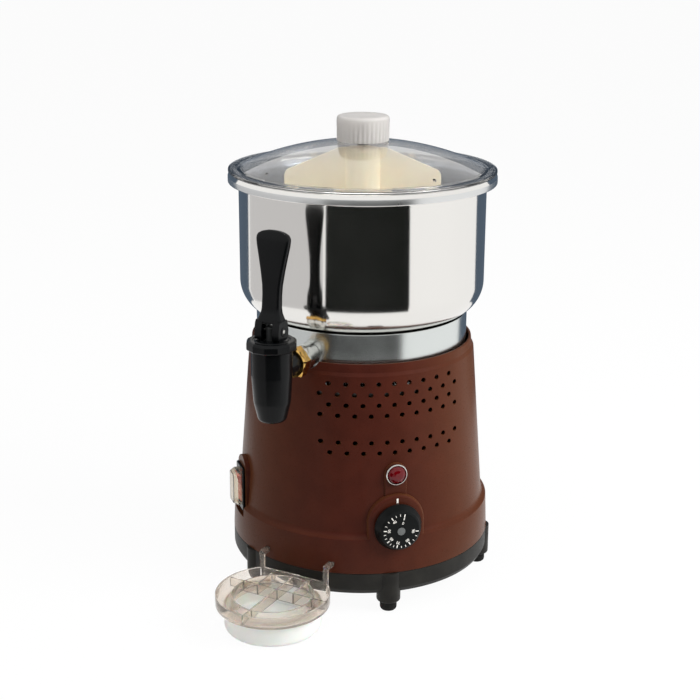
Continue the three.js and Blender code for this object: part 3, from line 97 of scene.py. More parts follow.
def turned(profile, sides=144, closed=False):
    """A profile of (radius, height) points turned about Z. An open profile runs from the axis, up the outside and
    back to the axis; a closed one runs anticlockwise round its section."""
    profile = np.array(profile, float)
    return circled(profile[:, :1], profile[:, 1:], full_turn(sides)), grid(len(profile), sides, closed), []


def on_circle(surface, radius, azimuth, height=0):
    """A surface moved out along an azimuth, where azimuth 0 is the front, -Y."""
    angle = np.radians(azimuth)
    shift = [radius * np.sin(angle), -radius * np.cos(angle), height]
    return surface[0] + shift, surface[1], surface[2]


def mesh_of(name, surfaces):
    """One mesh in metres from surfaces in millimetres about the machine's axis, with its seams and poles joined."""
    count, points, faces = 0, [], []
    for places, quads, caps in surfaces:
        faces += (quads + count).tolist() + [(np.array(cap) + count).tolist() for cap in caps]
        points.append(places)
        count += len(places)
    mesh = bpy.data.meshes.new(name)
    mesh.from_pydata((np.concatenate(points) / 1000 + axis).tolist(), [], faces)
    work = bmesh.new()
    work.from_mesh(mesh)
    bmesh.ops.remove_doubles(work, verts=work.verts, dist=1e-6)
    work.to_mesh(mesh)
    work.free()
    return mesh


def in_scene(name, data):
    """A new object of the scene for a mesh, a text, a lamp or a camera."""
    made = bpy.data.objects.new(name, data)
    bpy.context.scene.collection.objects.link(made)
    return made


def piece(name, shape, material, body="machine", nodes=(), crisp=35, edge=0.0):
    """A finished object from surfaces or a mesh. Edges sharper than crisp degrees stay crisp, or are rounded by
    edge millimetres."""
    mesh = shape if isinstance(shape, bpy.types.Mesh) else mesh_of(name, shape)
    mesh.materials.clear()
    mesh.materials.append(material)
    mesh.shade_smooth()
    made = in_scene(name, mesh)
    if edge:
        bevel = made.modifiers.new("edge", "BEVEL")
        bevel.width, bevel.segments, bevel.angle_limit = edge / 1000, 3, np.radians(crisp)
        bevel.harden_normals = True
    else:
        mesh.set_sharp_from_angle(angle=np.radians(crisp))
    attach(made, body)
    if nodes:
        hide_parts(*nodes)
    return made


def tone(red, green, blue):
    """A colour as it looks on a screen, 0 to 255, as the linear values of a shader."""
    share = np.array([red, green, blue]) / 255
    return (*np.where(share <= 0.04045, share / 12.92, ((share + 0.055) / 1.055) ** 2.4).tolist(), 1.0)


def bare_material(name, **settings):
    """A new material, its nodes, its links and its shader, whose sockets hold the settings."""
    material = bpy.data.materials.new(name)
    material.use_nodes = True
    nodes = material.node_tree.nodes
    shader = nodes["Principled BSDF"]
    for socket, value in settings.items():
        shader.inputs[socket.replace("_", " ")].default_value = value
    return material, nodes, material.node_tree.links, shader


def added(nodes, *kinds):
    """New shader nodes of these kinds."""
    return [nodes.new("ShaderNode" + kind) for kind in kinds]


def finish(name, tones, roughness, grain, relief, painted_edge_tone=None, hold=1, **settings):
    """A finish in two tones mixed by a broad noise, which pass to a painted edge tone where the surface turns away,
    the
    later the higher hold is: painted light in the base colour, a sheen on the brown moulding and reflection and edge
    shade on the clear ones. A fine noise, grain per metre, moves the roughness between 0.85 and 1.2 times its value
    and lifts the surface by relief metres."""
    material, nodes, links, shader = bare_material(name, **settings)
    place, broad, fine, ramp, spread, bump = added(
        nodes, "TexCoord", "TexNoise", "TexNoise", "ValToRGB", "MapRange", "Bump")
    for noise, scale in ((broad, grain / 15), (fine, grain)):
        noise.inputs["Scale"].default_value = scale
        noise.inputs["Detail"].default_value = 4
        links.new(place.outputs["Object"], noise.inputs["Vector"])
    for stop, position, colour in zip(ramp.color_ramp.elements, (0.35, 0.65), tones):
        stop.position, stop.color = position, colour
    spread.inputs["From Min"].default_value, spread.inputs["From Max"].default_value = 0.3, 0.7
    spread.inputs["To Min"].default_value, spread.inputs["To Max"].default_value = 0.85 * roughness, 1.2 * roughness
    bump.inputs["Distance"].default_value = relief
    links.new(broad.outputs["Fac"], ramp.inputs["Fac"])
    links.new(fine.outputs["Fac"], spread.inputs["Value"])
    links.new(fine.outputs["Fac"], bump.inputs["Height"])
    links.new(ramp.outputs["Color"], shader.inputs["Base Color"])
    # Painted light: the base colour passes to the edge tone as the surface turns from the view.
    if painted_edge_tone:
        facing, power, mixed = added(nodes, "LayerWeight", "Math", "Mix")
        power.operation = "POWER"
        power.inputs[1].default_value = hold
        mixed.data_type = "RGBA"
        facing.inputs["Blend"].default_value = 0.5
        mixed.inputs[7].default_value = painted_edge_tone
        links.new(facing.outputs["Facing"], power.inputs[0])
        links.new(power.outputs[0], mixed.inputs[0])
        links.new(ramp.outputs["Color"], mixed.inputs[6])
        links.new(mixed.outputs[2], shader.inputs["Base Color"])
    links.new(spread.outputs["Result"], shader.inputs["Roughness"])
    links.new(bump.outputs["Normal"], shader.inputs["Normal"])
    return material


satin_black = finish("satin_black", (tone(30, 29, 27), tone(38, 37, 34)), 0.42, 700, 2e-5, Specular_IOR_Level=0.12)
foot_azimuths, foot_circle = (-28, 41, 113, 182, 252), 120.3
pan = turned(softened(
    [(0, 25), (123.5, 25), (123.5, 20.2), (126, 20.2), (128.7, 25), (128.7, 41.2), (125.3, 41.2), (125.3, 48.2),
     (123.1, 48.2), (123.1, 28), (0, 28)], [0, 0.4, 0.3, 1.2, 1.5, 0.6, 0, 0.5, 0.5, 0, 0]), 200)
column = turned(softened([(0, 10), (11.5, 10), (11.5, 41.1), (0, 41.1)], [0, 2.2, 0.5, 0]), 48)
piece("base_pan_moulding", [pan] + [on_circle(column, foot_circle, azimuth) for azimuth in foot_azimuths],
      satin_black, nodes=["base_pan"])

rubber = finish("foot_rubber", (tone(24, 24, 23), tone(32, 32, 31)), 0.75, 1500, 3e-5, Specular_IOR_Level=0.15)
foot = turned(softened([(0, 0), (8.1, 0), (8.1, 9.7), (3, 9.7), (3, 18), (0, 18)], [0, 3.6, 0.6, 0, 0.4, 0]), 40)
for number, azimuth in enumerate(foot_azimuths, 1):
    piece(f"foot_{number}", [on_circle(foot, foot_circle, azimuth)], rubber,
          nodes=[f"rubber_foot_{number}"])


# Housing: one brown ABS moulding with a belt, a tapering wall, a rolled lip, two bands of vent holes, a raised
# arch for the dial, a lamp strip and a flat pad for the switch. Satin gloss, with a faint orange-peel skin.
def on_wall(surface, azimuth, height=0):
    """A surface made with x along the wall, y up and z straight out, turned to an azimuth of the machine."""
    angle = np.radians(azimuth)
    along, out = [np.cos(angle), np.sin(angle), 0], [np.sin(angle), -np.cos(angle), 0]
    return surface[0] @ np.array([along, [0, 0, 1], out]) + [0, 0, height], surface[1], surface[2]


def prism(outline, low, high):
    """An anticlockwise outline raised along Z from low to high."""
    outline = np.array(outline, float)
    count = len(outline)
    points = np.concatenate([np.column_stack([outline, np.full(count, level)]) for level in (low, high)])
    return points, grid(2, count), [np.arange(count)[::-1], np.arange(count) + count]


def arch(half, middle, steps=24):
    """Half an arch's outline: up from y = 0 at x = half, round a half circle about (0, middle), and down."""
    angle = np.linspace(0, np.pi, steps + 1)
    return np.concatenate([[[half, 0]], np.column_stack([half * np.cos(angle), middle + half * np.sin(angle)]),
                           [[-half, 0]]])


def carved(name, shape, *steps):
    """A mesh from surfaces after joining to it or cutting from it each step's surfaces."""
    base = in_scene(name, mesh_of(name, shape))
    tools = []
    for operation, surfaces in steps:
        tool = in_scene(name + "_tool", mesh_of(name + "_tool", surfaces))
        boolean = base.modifiers.new(operation, "BOOLEAN")
        boolean.operation, boolean.object, boolean.solver = operation, tool, "MANIFOLD"
        tools.append(tool)
    bpy.context.view_layer.update()
    mesh = bpy.data.meshes.new_from_object(base.evaluated_get(bpy.context.evaluated_depsgraph_get()))
    for spare in [base, *tools]:
        spare_mesh = spare.data
        bpy.data.objects.remove(spare)
        bpy.data.meshes.remove(spare_mesh)
    mesh.name = name
    return mesh


def rod(radius, low, high, sides=32):
    """A round bar along Z."""
    return turned([(0, low), (radius, low), (radius, high), (0, high)], sides)


def bar(x0, x1, y0, y1, z0, z1):
    """A straight block between limits along each axis."""
    return prism([(x0, y0), (x1, y0), (x1, y1), (x0, y1)], z0, z1)


panel, switch_side, rear = 43.8, -44, 180
dial_height, lamp_height, switch_height, pad_base = 88.2, 138, 93, 66
inlet_height, gland_height = 247, 60
outside = [(128.8, 41.5), (127.2, 75.6), (122.3, 78.8), (110.4, 231), (108.3, 234), (107.5, 242)]
inside = [(105, 242), (105.8, 234), (107.9, 231), (119.8, 76.4), (124.7, 73), (126.3, 41.5)]
shell = turned(softened(outside + inside, [0.5, 1.2, 8, 1.6, 1.4, 0.9, 0.9, 1.4, 1.6, 3, 3, 0.5], True, 4), 240, True)


def arched_panel(half, foot, middle, face, edge, back):
    """A raised arch in wall coordinates: rings of the arch's outline, drawn in by an inset, at a distance out that
    follows the turned face sqrt(face(y) squared - x squared) and falls away round the edge as a quarter circle."""
    turn = np.linspace(0, np.pi / 2, 7)
    insets = np.concatenate([[0], edge * (1 - np.cos(turn)), edge + (half - edge) * np.linspace(0.12, 1, 8)])
    drops = np.concatenate([[0], edge * (1 - np.sin(turn)), np.zeros(8)])
    rings = []
    for number, (inset, drop) in enumerate(zip(insets, drops)):
        outline = arch(half - inset, middle - foot, 36) + [0, foot]
        up = np.linspace(0, 1, 9)[1:-1, None]
        outline = np.concatenate([outline[:1], outline[0] + up * (outline[1] - outline[0]), outline[1:-1],
                                  outline[-2] + up * (outline[-1] - outline[-2]), outline[-1:]])
        out = np.sqrt(face(outline[:, 1]) ** 2 - outline[:, 0] ** 2) - drop if number else np.full(len(outline), back)
        rings.append(np.column_stack([outline, out]))
    count = len(rings[0])
    return np.concatenate(rings), grid(len(rings), count), [np.arange(count)[::-1]]


def belt_face(height):
    """The belt's radius, carried on up past its ledge, and drawn in below height 66 so the arch sinks into it."""
    return 127.1 + 0.04657 * (78 - height) + 0.04 - 0.02 * np.clip(66 - height, 0, None) ** 2


boss = on_wall(arched_panel(27.6, 58, 91, belt_face, 2.4, 112), panel)
strip = on_wall(arched_panel(10.6, 100, 138, lambda height: 120.5 + 0 * height, 1.0, 112), panel)
boss_hollow = on_wall(prism(arch(25.1, 22), 90, 122.5), panel, 69)
strip_hollow = on_wall(prism(arch(8.1, 38), 90, 117.6), panel, 100)
pad_clearing = on_wall(prism(arch(16.5, 42.5), 123.1, 140), switch_side, pad_base)
pad = on_wall(prism(arch(16.5, 42.5), 108, 123.1), switch_side, pad_base)
pad_foot = on_wall(bar(-18.9, 18.9, -2.5, 8.5, 108, 125), switch_side, pad_base)
pad_hollow = on_wall(prism(arch(14, 42.5), 90, 120.6), switch_side, pad_base)
vent, vent_pitch = rod(2.35, 78, 128, 20), 14.6
vent_rows = ((9, 157.8), (10, 167.8), (10, 193.4), (9, 203.4), (10, 213.4), (9, 223.4))
vents = [on_wall((vent[0] + [(i - (count - 1) / 2) * vent_pitch, 0, 0], *vent[1:]), panel, height)
         for count, height in vent_rows for i in range(count)]
openings = vents + [
    on_wall(rod(5.2, 100, 140), panel, dial_height), on_wall(rod(6.5, 100, 140), panel, lamp_height),
    on_wall(bar(-10.6, 10.6, -19.3, 19.3, 100, 130), switch_side, switch_height),
    bar(-37.6, -32, -135, -112, 48.2, 52.9), bar(32, 37.6, -135, -112, 48.2, 52.9),
    on_wall(rod(13, 98, 114, 48), 0, inlet_height), on_wall(rod(8.3, 115, 135), rear, gland_height)]
# Where the moulding turns away, its brown passes to a lighter warm brown: a painted sheen.
brown = finish("brown_moulding_painted_sheen", (tone(60, 25, 18), tone(66, 28, 20)), 0.3, 900, 2e-6, painted_edge_tone=tone(84, 50, 28),
               Specular_IOR_Level=0.07)
piece("housing_moulding", carved(
    "housing_moulding", [shell], ("UNION", [boss]), ("UNION", [strip]), ("DIFFERENCE", [boss_hollow]),
    ("DIFFERENCE", [strip_hollow]), ("UNION", [pad_foot]), ("DIFFERENCE", [pad_clearing]), ("UNION", [pad]),
    ("DIFFERENCE", [pad_hollow]), ("DIFFERENCE", openings)), brown, nodes=["housing"], crisp=28)

white_print = finish("white_print", (tone(226, 222, 214), tone(240, 237, 230)), 0.5, 900, 1e-5)
index_bar = on_wall(bar(-0.9, 0.9, 22.9, 27.2, 125.5, 126.15), panel, dial_height)
piece("dial_index", [index_bar], white_print, edge=0.15)


# Inner works: a zinc-plated deck on three pillars carries a gear motor under the bowl, and a ring heater warms the
# water bath. They, the screws and the dial's spindle keep their CAD shape, and little of them is seen from outside.
def dress(material, *names):
    """Gives CAD nodes a finish, in place of the plain one that they were packed with."""
    for name in names:
        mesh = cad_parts[name].data
        mesh.materials.clear()
        mesh.materials.append(material)


zinc = finish("zinc_plate", (tone(78, 80, 78), tone(94, 94, 90)), 0.38, 500, 1e-5, Metallic=1.0)
brass = finish("yellow_brass", (tone(208, 160, 84), tone(222, 182, 106)), 0.2, 600, 8e-6, Metallic=1.0)
copper = finish("copper_tube", (tone(176, 106, 69), tone(198, 128, 88)), 0.32, 500, 1e-5, Metallic=1.0)
dress(zinc, "deck_plate", "pillar_1", "pillar_2", "pillar_3", "gearbox_case", "gearbox_cover", "motor_case",
      "motor_rotor", "heating_element", "knob_screw", "thermostat_spindle",
      *[f"{kind}_screw_{number}" for kind in ("pillar", "housing") for number in (1, 2, 3)])
dress(brass, "column_nut", "lower_bush", "upper_bush", "drive_gear")
dress(copper, "thermostat_bulb")
dress(rubber, "shaft_seal", "valve_disc")


# Heating jacket: a spun stainless vessel whose rounded mouth shows between bowl and housing, with the bowl's
# black rubber seal in it.
def spun_steel(name, colour, roughness, lines, relief, blur):
    """Brushed or polished steel whose fine lines run round the axis: a noise of radius and height alone lifts it,
    a broad one dulls it in clouds, and blur stretches its reflections across the lines."""
    material, nodes, links, shader = bare_material(
        name, Base_Color=colour, Metallic=1.0, Anisotropic=blur, Anisotropic_Rotation=0.25)
    place, centred, parts, flat, length, ring = added(
        nodes, "TexCoord", "Mapping", "SeparateXYZ", "CombineXYZ", "VectorMath", "CombineXYZ")
    centred.inputs["Location"].default_value = (-axis).tolist()
    length.operation = "LENGTH"
    links.new(place.outputs["Object"], centred.inputs["Vector"])
    links.new(centred.outputs["Vector"], parts.inputs["Vector"])
    links.new(parts.outputs["X"], flat.inputs["X"])
    links.new(parts.outputs["Y"], flat.inputs["Y"])
    links.new(flat.outputs["Vector"], length.inputs[0])
    links.new(length.outputs["Value"], ring.inputs["X"])
    links.new(parts.outputs["Z"], ring.inputs["Z"])
    fine, clouds, spread, bump, tangent = added(nodes, "TexNoise", "TexNoise", "MapRange", "Bump", "Tangent")
    fine.inputs["Scale"].default_value, fine.inputs["Detail"].default_value = lines, 3
    clouds.inputs["Scale"].default_value = 30
    links.new(ring.outputs["Vector"], fine.inputs["Vector"])
    links.new(centred.outputs["Vector"], clouds.inputs["Vector"])
    spread.inputs["To Min"].default_value, spread.inputs["To Max"].default_value = 0.8 * roughness, 1.2 * roughness
    bump.inputs["Distance"].default_value = relief
    tangent.direction_type, tangent.axis = "RADIAL", "Z"
    links.new(clouds.outputs["Fac"], spread.inputs["Value"])
    links.new(fine.outputs["Fac"], bump.inputs["Height"])
    links.new(spread.outputs["Result"], shader.inputs["Roughness"])
    links.new(bump.outputs["Normal"], shader.inputs["Normal"])
    links.new(tangent.outputs["Tangent"], shader.inputs["Tangent"])
    return material


steel = spun_steel("spun_steel", tone(233, 231, 227), 0.11, 1500, 8e-7, 0.9)
vessel_steel = spun_steel("vessel_steel", tone(218, 222, 220), 0.24, 1500, 2e-7, 0.6)
inlet_cut = on_wall(rod(8.8, 80, 112), 0, inlet_height)
jacket = turned(softened(
    [(9.3, 214.8), (102.7, 214.8), (102.7, 268.4), (101.5, 268.4), (101.5, 216), (9.3, 216)],
    [0, 5, 0.9, 0.25, 3.8, 0], True), 200, True)
piece("jacket_ring", carved("jacket_ring", [jacket], ("DIFFERENCE", [inlet_cut])), vessel_steel,
      nodes=["heating_jacket"])
seal = turned(softened([(95.8, 260.6), (101.2, 260.6), (101.2, 264.3), (98, 264.3), (97, 265.7), (95.8, 265.7)],
                       [0.2, 0.2, 0.5, 0.2, 0.2, 0.2], True, 3), 160, True)
piece("bowl_ring_seal", [seal], rubber, nodes=["bowl_seal"])


# Bowl: a deep drawn stainless bowl with a stepped well, a big lower radius and a flanged rim band.
# Polished outside, with faint spinning lines; its inside and the rim's band are duller, and the inside's darker
# blue-grey colour is a painted reflection of the dark room.
bend = np.radians(np.linspace(-68.37, 0, 22))
corner, inner_corner = (np.column_stack([86.2 + radius * np.cos(bend), 298 + radius * np.sin(bend)])
                        for radius in (32, 30.8))
bowl_out = np.concatenate([
    softened([(9.3, 232), (95.5, 232), (95.5, 266), (97.9, 266), (97.9, 268)], [0, 4, 0.3, 0.5, 0]),
    corner,
    softened([(118.2, 300), (118.2, 392.4), (128.2, 392.4), (128.2, 398.6), (126.6, 402.2), (125.4, 402.2),
              (126.6, 393.7), (117, 393.7), (117, 300)], [0, 2.5, 1, 5, 0.6, 0.5, 1.2, 3, 0]),
    inner_corner[::-1],
    softened([(96.6, 269), (94.3, 267), (94.3, 233.2), (9.3, 233.2)], [0, 0.6, 3, 0])])
bowl = piece("bowl_shell", carved("bowl_shell", [turned(bowl_out, 256, True)], ("DIFFERENCE", [inlet_cut])), steel,
             nodes=["bowl"])
# The second finish, a darker blue-grey steel on the bowl's inside, is a painted reflection; the third is the rim
# band's duller steel.
bowl.data.materials.append(spun_steel("bowl_inside_painted_reflection", tone(150, 155, 164), 0.22, 1500, 8e-7, 0.8))
bowl.data.materials.append(spun_steel("rim_band", tone(222, 223, 222), 0.3, 1500, 8e-7, 0.5))
centres, normals = (np.zeros(len(bowl.data.polygons) * 3, np.float32) for _ in range(2))
bowl.data.polygons.foreach_get("center", centres)
bowl.data.polygons.foreach_get("normal", normals)
outward, normals = centres.reshape(-1, 3) - axis, normals.reshape(-1, 3)
from_axis, height = np.hypot(outward[:, 0], outward[:, 1]), outward[:, 2]
faces_in = ((outward[:, :2] * normals[:, :2]).sum(1) < 0) | (normals[:, 2] > 0.3)
inside_painted_reflection_face, band_face = faces_in & (height < 0.395) & (from_axis < 0.1265), (from_axis > 0.1281) & (height < 0.3985)
bowl.data.polygons.foreach_set("material_index", np.where(band_face, 2, inside_painted_reflection_face).astype(np.int32))


# Drive and paddle: a steel column through the bowl's floor, and a cream acetal paddle that drops over it onto
# the shaft's hexagon. Its two windowed wings slope down from a flat crown to rounded tips.
dress(steel, "centre_column", "drive_shaft")
# The paddle's emission is a painted glow that lightens its cream; the paddle holds no lamp.
cream = finish("cream_acetal_painted_glow", (tone(255, 238, 200), tone(255, 243, 212)), 0.38, 300, 1e-5,
               Emission_Color=tone(255, 236, 198), Emission_Strength=0.22, Subsurface_Weight=0.1,
               Subsurface_Scale=0.004)
wing_outline = softened([(-22, 422.5), (-74.5, 400.5), (-74.5, 240), (74.5, 240), (74.5, 400.5), (22, 422.5)],
                        [12, 7, 6, 6, 7, 12], True, 8)
wing = prism(wing_outline, -2, 2)
upright = np.array([[1, 0, 0], [0, 0, 1], [0, -1, 0]])
wing = (wing[0] @ upright, wing[1], wing[2])
hub = turned(softened([(0, 240), (16.6, 240), (16.6, 422.5), (0, 422.5)], [0, 1, 3.5, 0]), 64)
windows = [bar(x - 17, x + 17, -8, 8, z, z + 34) for x in (-45.5, 45.5) for z in (258, 304, 350)]
bore = [rod(11.2, 236, 392, 48), rod(4.6, 391, 407.3, 6)]
paddle = carved("paddle_moulding", [wing], ("DIFFERENCE", windows), ("UNION", [hub]), ("DIFFERENCE", bore))
points = np.zeros(len(paddle.vertices) * 3, np.float32)
paddle.vertices.foreach_get("co", points)
points = points.reshape(-1, 3) - axis
stopped_at = np.radians(27.8)
points = points @ np.array([[np.cos(stopped_at), np.sin(stopped_at), 0],
                            [-np.sin(stopped_at), np.cos(stopped_at), 0], [0, 0, 1]]) + axis
paddle.vertices.foreach_set("co", points.astype(np.float32).ravel())
piece("paddle_moulding", paddle, cream, body="drive", nodes=["mixing_paddle"], edge=0.6)


# Lid: a clear domed cover moulded in polycarbonate, with a flat flange, a skirt inside the bowl's rim and four
# small steam holes. It lies loose on the rim and is lifted by its knob.
# Where the dome turns away its clear tint passes to blue-grey: a painted reflection of the dark room behind.
clear = finish("clear_polycarbonate_painted_reflection", (tone(247, 246, 243), tone(252, 251, 249)), 0.03, 40, 8e-7,
               painted_edge_tone=tone(120, 128, 142), hold=3, Transmission_Weight=1.0, IOR=1.49)
dome_centre, dome_radius, under_radius = 139, 291, 288.5
dome_reach = np.linspace(117, 0, 40)
under_reach = dome_reach[::-1] * 0.979
lid_section = np.concatenate([
    np.column_stack([under_reach, dome_centre + np.sqrt(under_radius ** 2 - under_reach ** 2)]),
    softened([(114.5, 405.5), (114.5, 402.3), (123.7, 402.3), (123.7, 396), (125.9, 396), (125.9, 402.3),
              (127.8, 402.3), (127.8, 405.1), (119.4, 405.1), (117, 405.6)],
             [0, 1, 0.8, 0.5, 0.5, 0.3, 0.6, 0.9, 1, 0]),
    np.column_stack([dome_reach, dome_centre + np.sqrt(dome_radius ** 2 - dome_reach ** 2)])])
steam = [on_circle(rod(1.4, 395, 425, 16), 108, azimuth) for azimuth in (64, 154, 244, 334)]
piece("lid_dome", carved("lid_dome", [turned(lid_section, 200)],
                         ("DIFFERENCE", steam + [rod(2.3, 420, 440, 24)])),
      clear, body="lid_set", nodes=["lid"])


# Lid knob: a frosted acrylic cap moulded with 36 fine flutes and a smooth rounded crown, hollow underneath. A
# screw through the lid's middle holds it.
def fluted(profile, depth, fade, flutes=36, sides=432):
    """A turned profile whose radius is drawn in by depth (1 - cos(flutes a)) / 2, times each point's fade."""
    profile, fade, angle = np.array(profile, float), np.array(fade)[:, None], full_turn(sides)
    radius = profile[:, :1] - depth * fade * (1 - np.cos(flutes * angle)) / 2
    return circled(radius, profile[:, 1:], angle), grid(len(profile), sides), []


knob_glass = finish("frosted_acrylic", (tone(224, 221, 218), tone(234, 231, 228)), 0.44, 60, 3e-6,
                    Transmission_Weight=0.62, IOR=1.4)
knob_profile = np.concatenate([
    softened([(0, 446), (2.3, 446), (2.3, 430.3), (6, 430.3), (6, 450), (21.4, 450), (21.4, 430.3), (24.8, 430.3),
              (25, 448)], [0, 0.3, 0.2, 0.5, 1, 1.5, 0.2, 0.6, 0]),
    softened([(25, 448), (24.8, 454), (0, 453.4)], [0, 4.2, 0], steps=10)[1:]])
knob_fade = np.clip((447.5 - knob_profile[:, 1]) / 4, 0, 1) * (knob_profile[:, 0] > 24)
piece("knob_cap", [fluted(knob_profile, 0.9, knob_fade)], knob_glass, body="lid_set",
      nodes=["lid_knob"])


# Tap inlet and nut: a stainless tube through jacket and bowl with a turned boss, and a loose brass hex nut that
# holds the tap's stub to it.
inlet = turned(softened(
    [(6.5, 91.4), (11.2, 91.4), (11.2, 93.1), (8.5, 93.1), (8.5, 103), (11.2, 103), (11.2, 113), (12.6, 113),
     (12.6, 125.1), (8.5, 125.1), (8.5, 146), (6.5, 146)],
    [0.3, 0.5, 0.3, 0.2, 0.2, 0.4, 0.4, 1.2, 1.2, 0.4, 0.5, 0.3], True, 4)[::-1], 64, True)
turned_steel = finish("turned_steel", (tone(206, 204, 199), tone(222, 220, 215)), 0.16, 700, 8e-6, Metallic=1.0)
piece("inlet_tube", [on_wall((inlet[0], inlet[1][:, ::-1], []), 0, inlet_height)], turned_steel,
      nodes=["tap_inlet_tube"])


def hex_nut(flats, bore, low, high, chamfer, turned_by, steps=120):
    """A hexagon about Z, turned by some degrees, with a round bore. Its radius is the flats' over the cosine of the
    angle from the nearest flat's middle, and a cone cuts its corners: the radius is held to 0.3 under the flats' at
    both ends, and to 2.2 times the distance from the end more than that within the chamfer."""
    angle = full_turn(steps)
    hexagon = flats / np.cos((angle - np.radians(turned_by) + np.pi / 6) % (np.pi / 3) - np.pi / 6)
    cone = flats - 0.3 + np.array([0, chamfer, chamfer, 0])[:, None] * 2.2
    radius = np.concatenate([np.minimum(hexagon, cone), np.full((2, steps), bore)])
    height = np.array([low, low + chamfer, high - chamfer, high, high, low])[:, None]
    return circled(radius, height, angle), grid(len(height), steps, True), []


piece("inlet_nut", [on_wall(hex_nut(13.6, 8.8, 125.4, 136.4, 1.3, 12), 0, inlet_height)], brass,
      nodes=["tap_nut"], crisp=24)


# Tap: a glossy black moulded body with a rounded outlet, a twelve-sided bonnet screwed onto it, and the plunger's
# dark acetal stem, which comes up through the bonnet to the lever.
gloss_black = finish("gloss_black", (tone(7, 8, 9), tone(10, 11, 12)), 0.22, 500, 8e-6, Specular_IOR_Level=0.16)
tap, pin_height = 169, 287
body_profile = softened([(0, 203), (12.4, 203), (16.6, 221), (18.3, 246), (18.4, 274.5), (0, 274.5)],
                        [0, 4.5, 16, 20, 0.6, 0], steps=7)
stub = on_wall(turned(softened([(0, 136.9), (11.4, 136.9), (11.4, 164), (0, 164)], [0, 1.2, 0.3, 0]), 64),
               0, inlet_height)
tap_well = [on_circle(rod(14, 226, 278, 48), tap, 0), on_wall(rod(8.8, 130, 146.3), 0, inlet_height)]
outlet_bore, inlet_bore = on_circle(rod(8, 198, 228, 40), tap, 0), on_wall(rod(6.5, 135, 165), 0, inlet_height)
piece("tap_moulding", carved(
    "tap_moulding", [on_circle(turned(body_profile, 96), tap, 0)], ("UNION", [stub]), ("DIFFERENCE", tap_well),
    ("DIFFERENCE", [outlet_bore]), ("DIFFERENCE", [inlet_bore])),
    gloss_black, nodes=["tap_body"], crisp=30)


def faceted(profile, sides, steps=120):
    """A closed section turned about Z whose points past radius 20 follow a polygon of so many sides: their radius is
    multiplied by the cosine of half a side's angle and divided by that of the angle from the nearest side's middle,
    so the corners keep the section's radius."""
    profile, angle = np.array(profile, float), full_turn(steps)
    flattened = np.cos(np.pi / sides) / np.cos((angle + np.pi / sides) % (2 * np.pi / sides) - np.pi / sides)
    radius = profile[:, :1] * np.where(profile[:, :1] > 20, flattened, 1)
    return circled(radius, profile[:, 1:], angle), grid(len(profile), steps, True), []


bonnet_profile = softened(
    [(18.7, 270), (21.8, 270), (22.7, 271.2), (22.7, 276.4), (21, 278.5), (17, 278.5), (16.4, 277.6), (15.2, 277.6),
     (14.4, 278.3), (5.2, 278.3), (5.2, 275.3), (18.7, 275.3)],
    [0.3, 0.8, 0.8, 1, 1, 0.4, 0.3, 0.3, 0.4, 0.3, 0.3, 0.3], True, 4)
piece("tap_bonnet_ring", [on_circle(faceted(bonnet_profile, 12), tap, 0)], gloss_black,
      nodes=["tap_bonnet"], crisp=20)


def sideways(surface):
    """A surface turned so that its Z runs along X, its X along Y and its Y upright."""
    return surface[0] @ np.array([[0, 1, 0], [0, 0, 1], [1, 0, 0]]), *surface[1:]


grey = finish("grey_plastic", (tone(138, 139, 135), tone(150, 150, 145)), 0.45, 600, 1e-5)
dark_grey = finish("dark_acetal", (tone(34, 35, 35), tone(42, 43, 43)), 0.4, 600, 1e-5, Specular_IOR_Level=0.2)
stem = turned(softened([(0, 229.8), (5, 229.8), (5, 291), (0, 291)], [0, 0.5, 2, 0]), 40)
pin_hole = on_circle(sideways(rod(2.2, -8, 8)), tap, 0, pin_height)
piece("plunger_stem", carved("plunger_stem", [on_circle(stem, tap, 0)], ("DIFFERENCE", [pin_hole])), dark_grey,
      body="plunger", nodes=["tap_plunger"])


# Tap spring: six turns of plated steel wire round the plunger's stem, between the valve disc and the bonnet, which
# press the valve shut. It shortens as the lever lifts the plunger.
coil_turns, coil_reach, wire_radius, coil_foot, coil_height = 6, 10, 0.9, 234, 40
along, around = 241, 12
winding = np.linspace(0, coil_turns * 2 * np.pi, along)[:, None]
wire = np.linspace(0, 2 * np.pi, around, endpoint=False)
coil_radius = coil_reach + wire_radius * np.cos(wire)
coil = np.stack([np.cos(winding) * coil_radius, np.sin(winding) * coil_radius,
                 coil_foot + coil_height * winding / winding[-1] + wire_radius * np.sin(wire)], -1).reshape(-1, 3)
coil_ends = [np.arange(around), np.arange(around)[::-1] + (along - 1) * around]
coil = coil, grid(along, around)[:, ::-1], coil_ends
spring = piece("valve_spring", [on_circle(coil, tap, 0)], zinc, nodes=["tap_spring"])
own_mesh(spring)


# Tap lever: a glossy black moulding, with a flat handle that widens to a rounded top over two cheeks joined by a
# bridge. The cheeks straddle the plunger's stem, and a steel pin goes through all three.
def blade(heights, half_widths, fronts, backs, power, sides=64):
    """A lofted blade: at each height its section is a superellipse, x = half width cos a to the power 2 / n and
    y between its front and back = sin a to the same power, closed by its first and last rings shrunk to points."""
    angle = full_turn(sides)
    across, deep = (np.sign(wave) * np.abs(wave) ** (2 / power) for wave in (np.cos(angle), np.sin(angle)))
    middle, half = (fronts + backs) / 2, (backs - fronts) / 2
    points = np.stack([half_widths[:, None] * across, middle[:, None] + half[:, None] * deep,
                       heights[:, None] + 0 * angle], -1)
    return points.reshape(-1, 3), grid(len(heights), sides), []


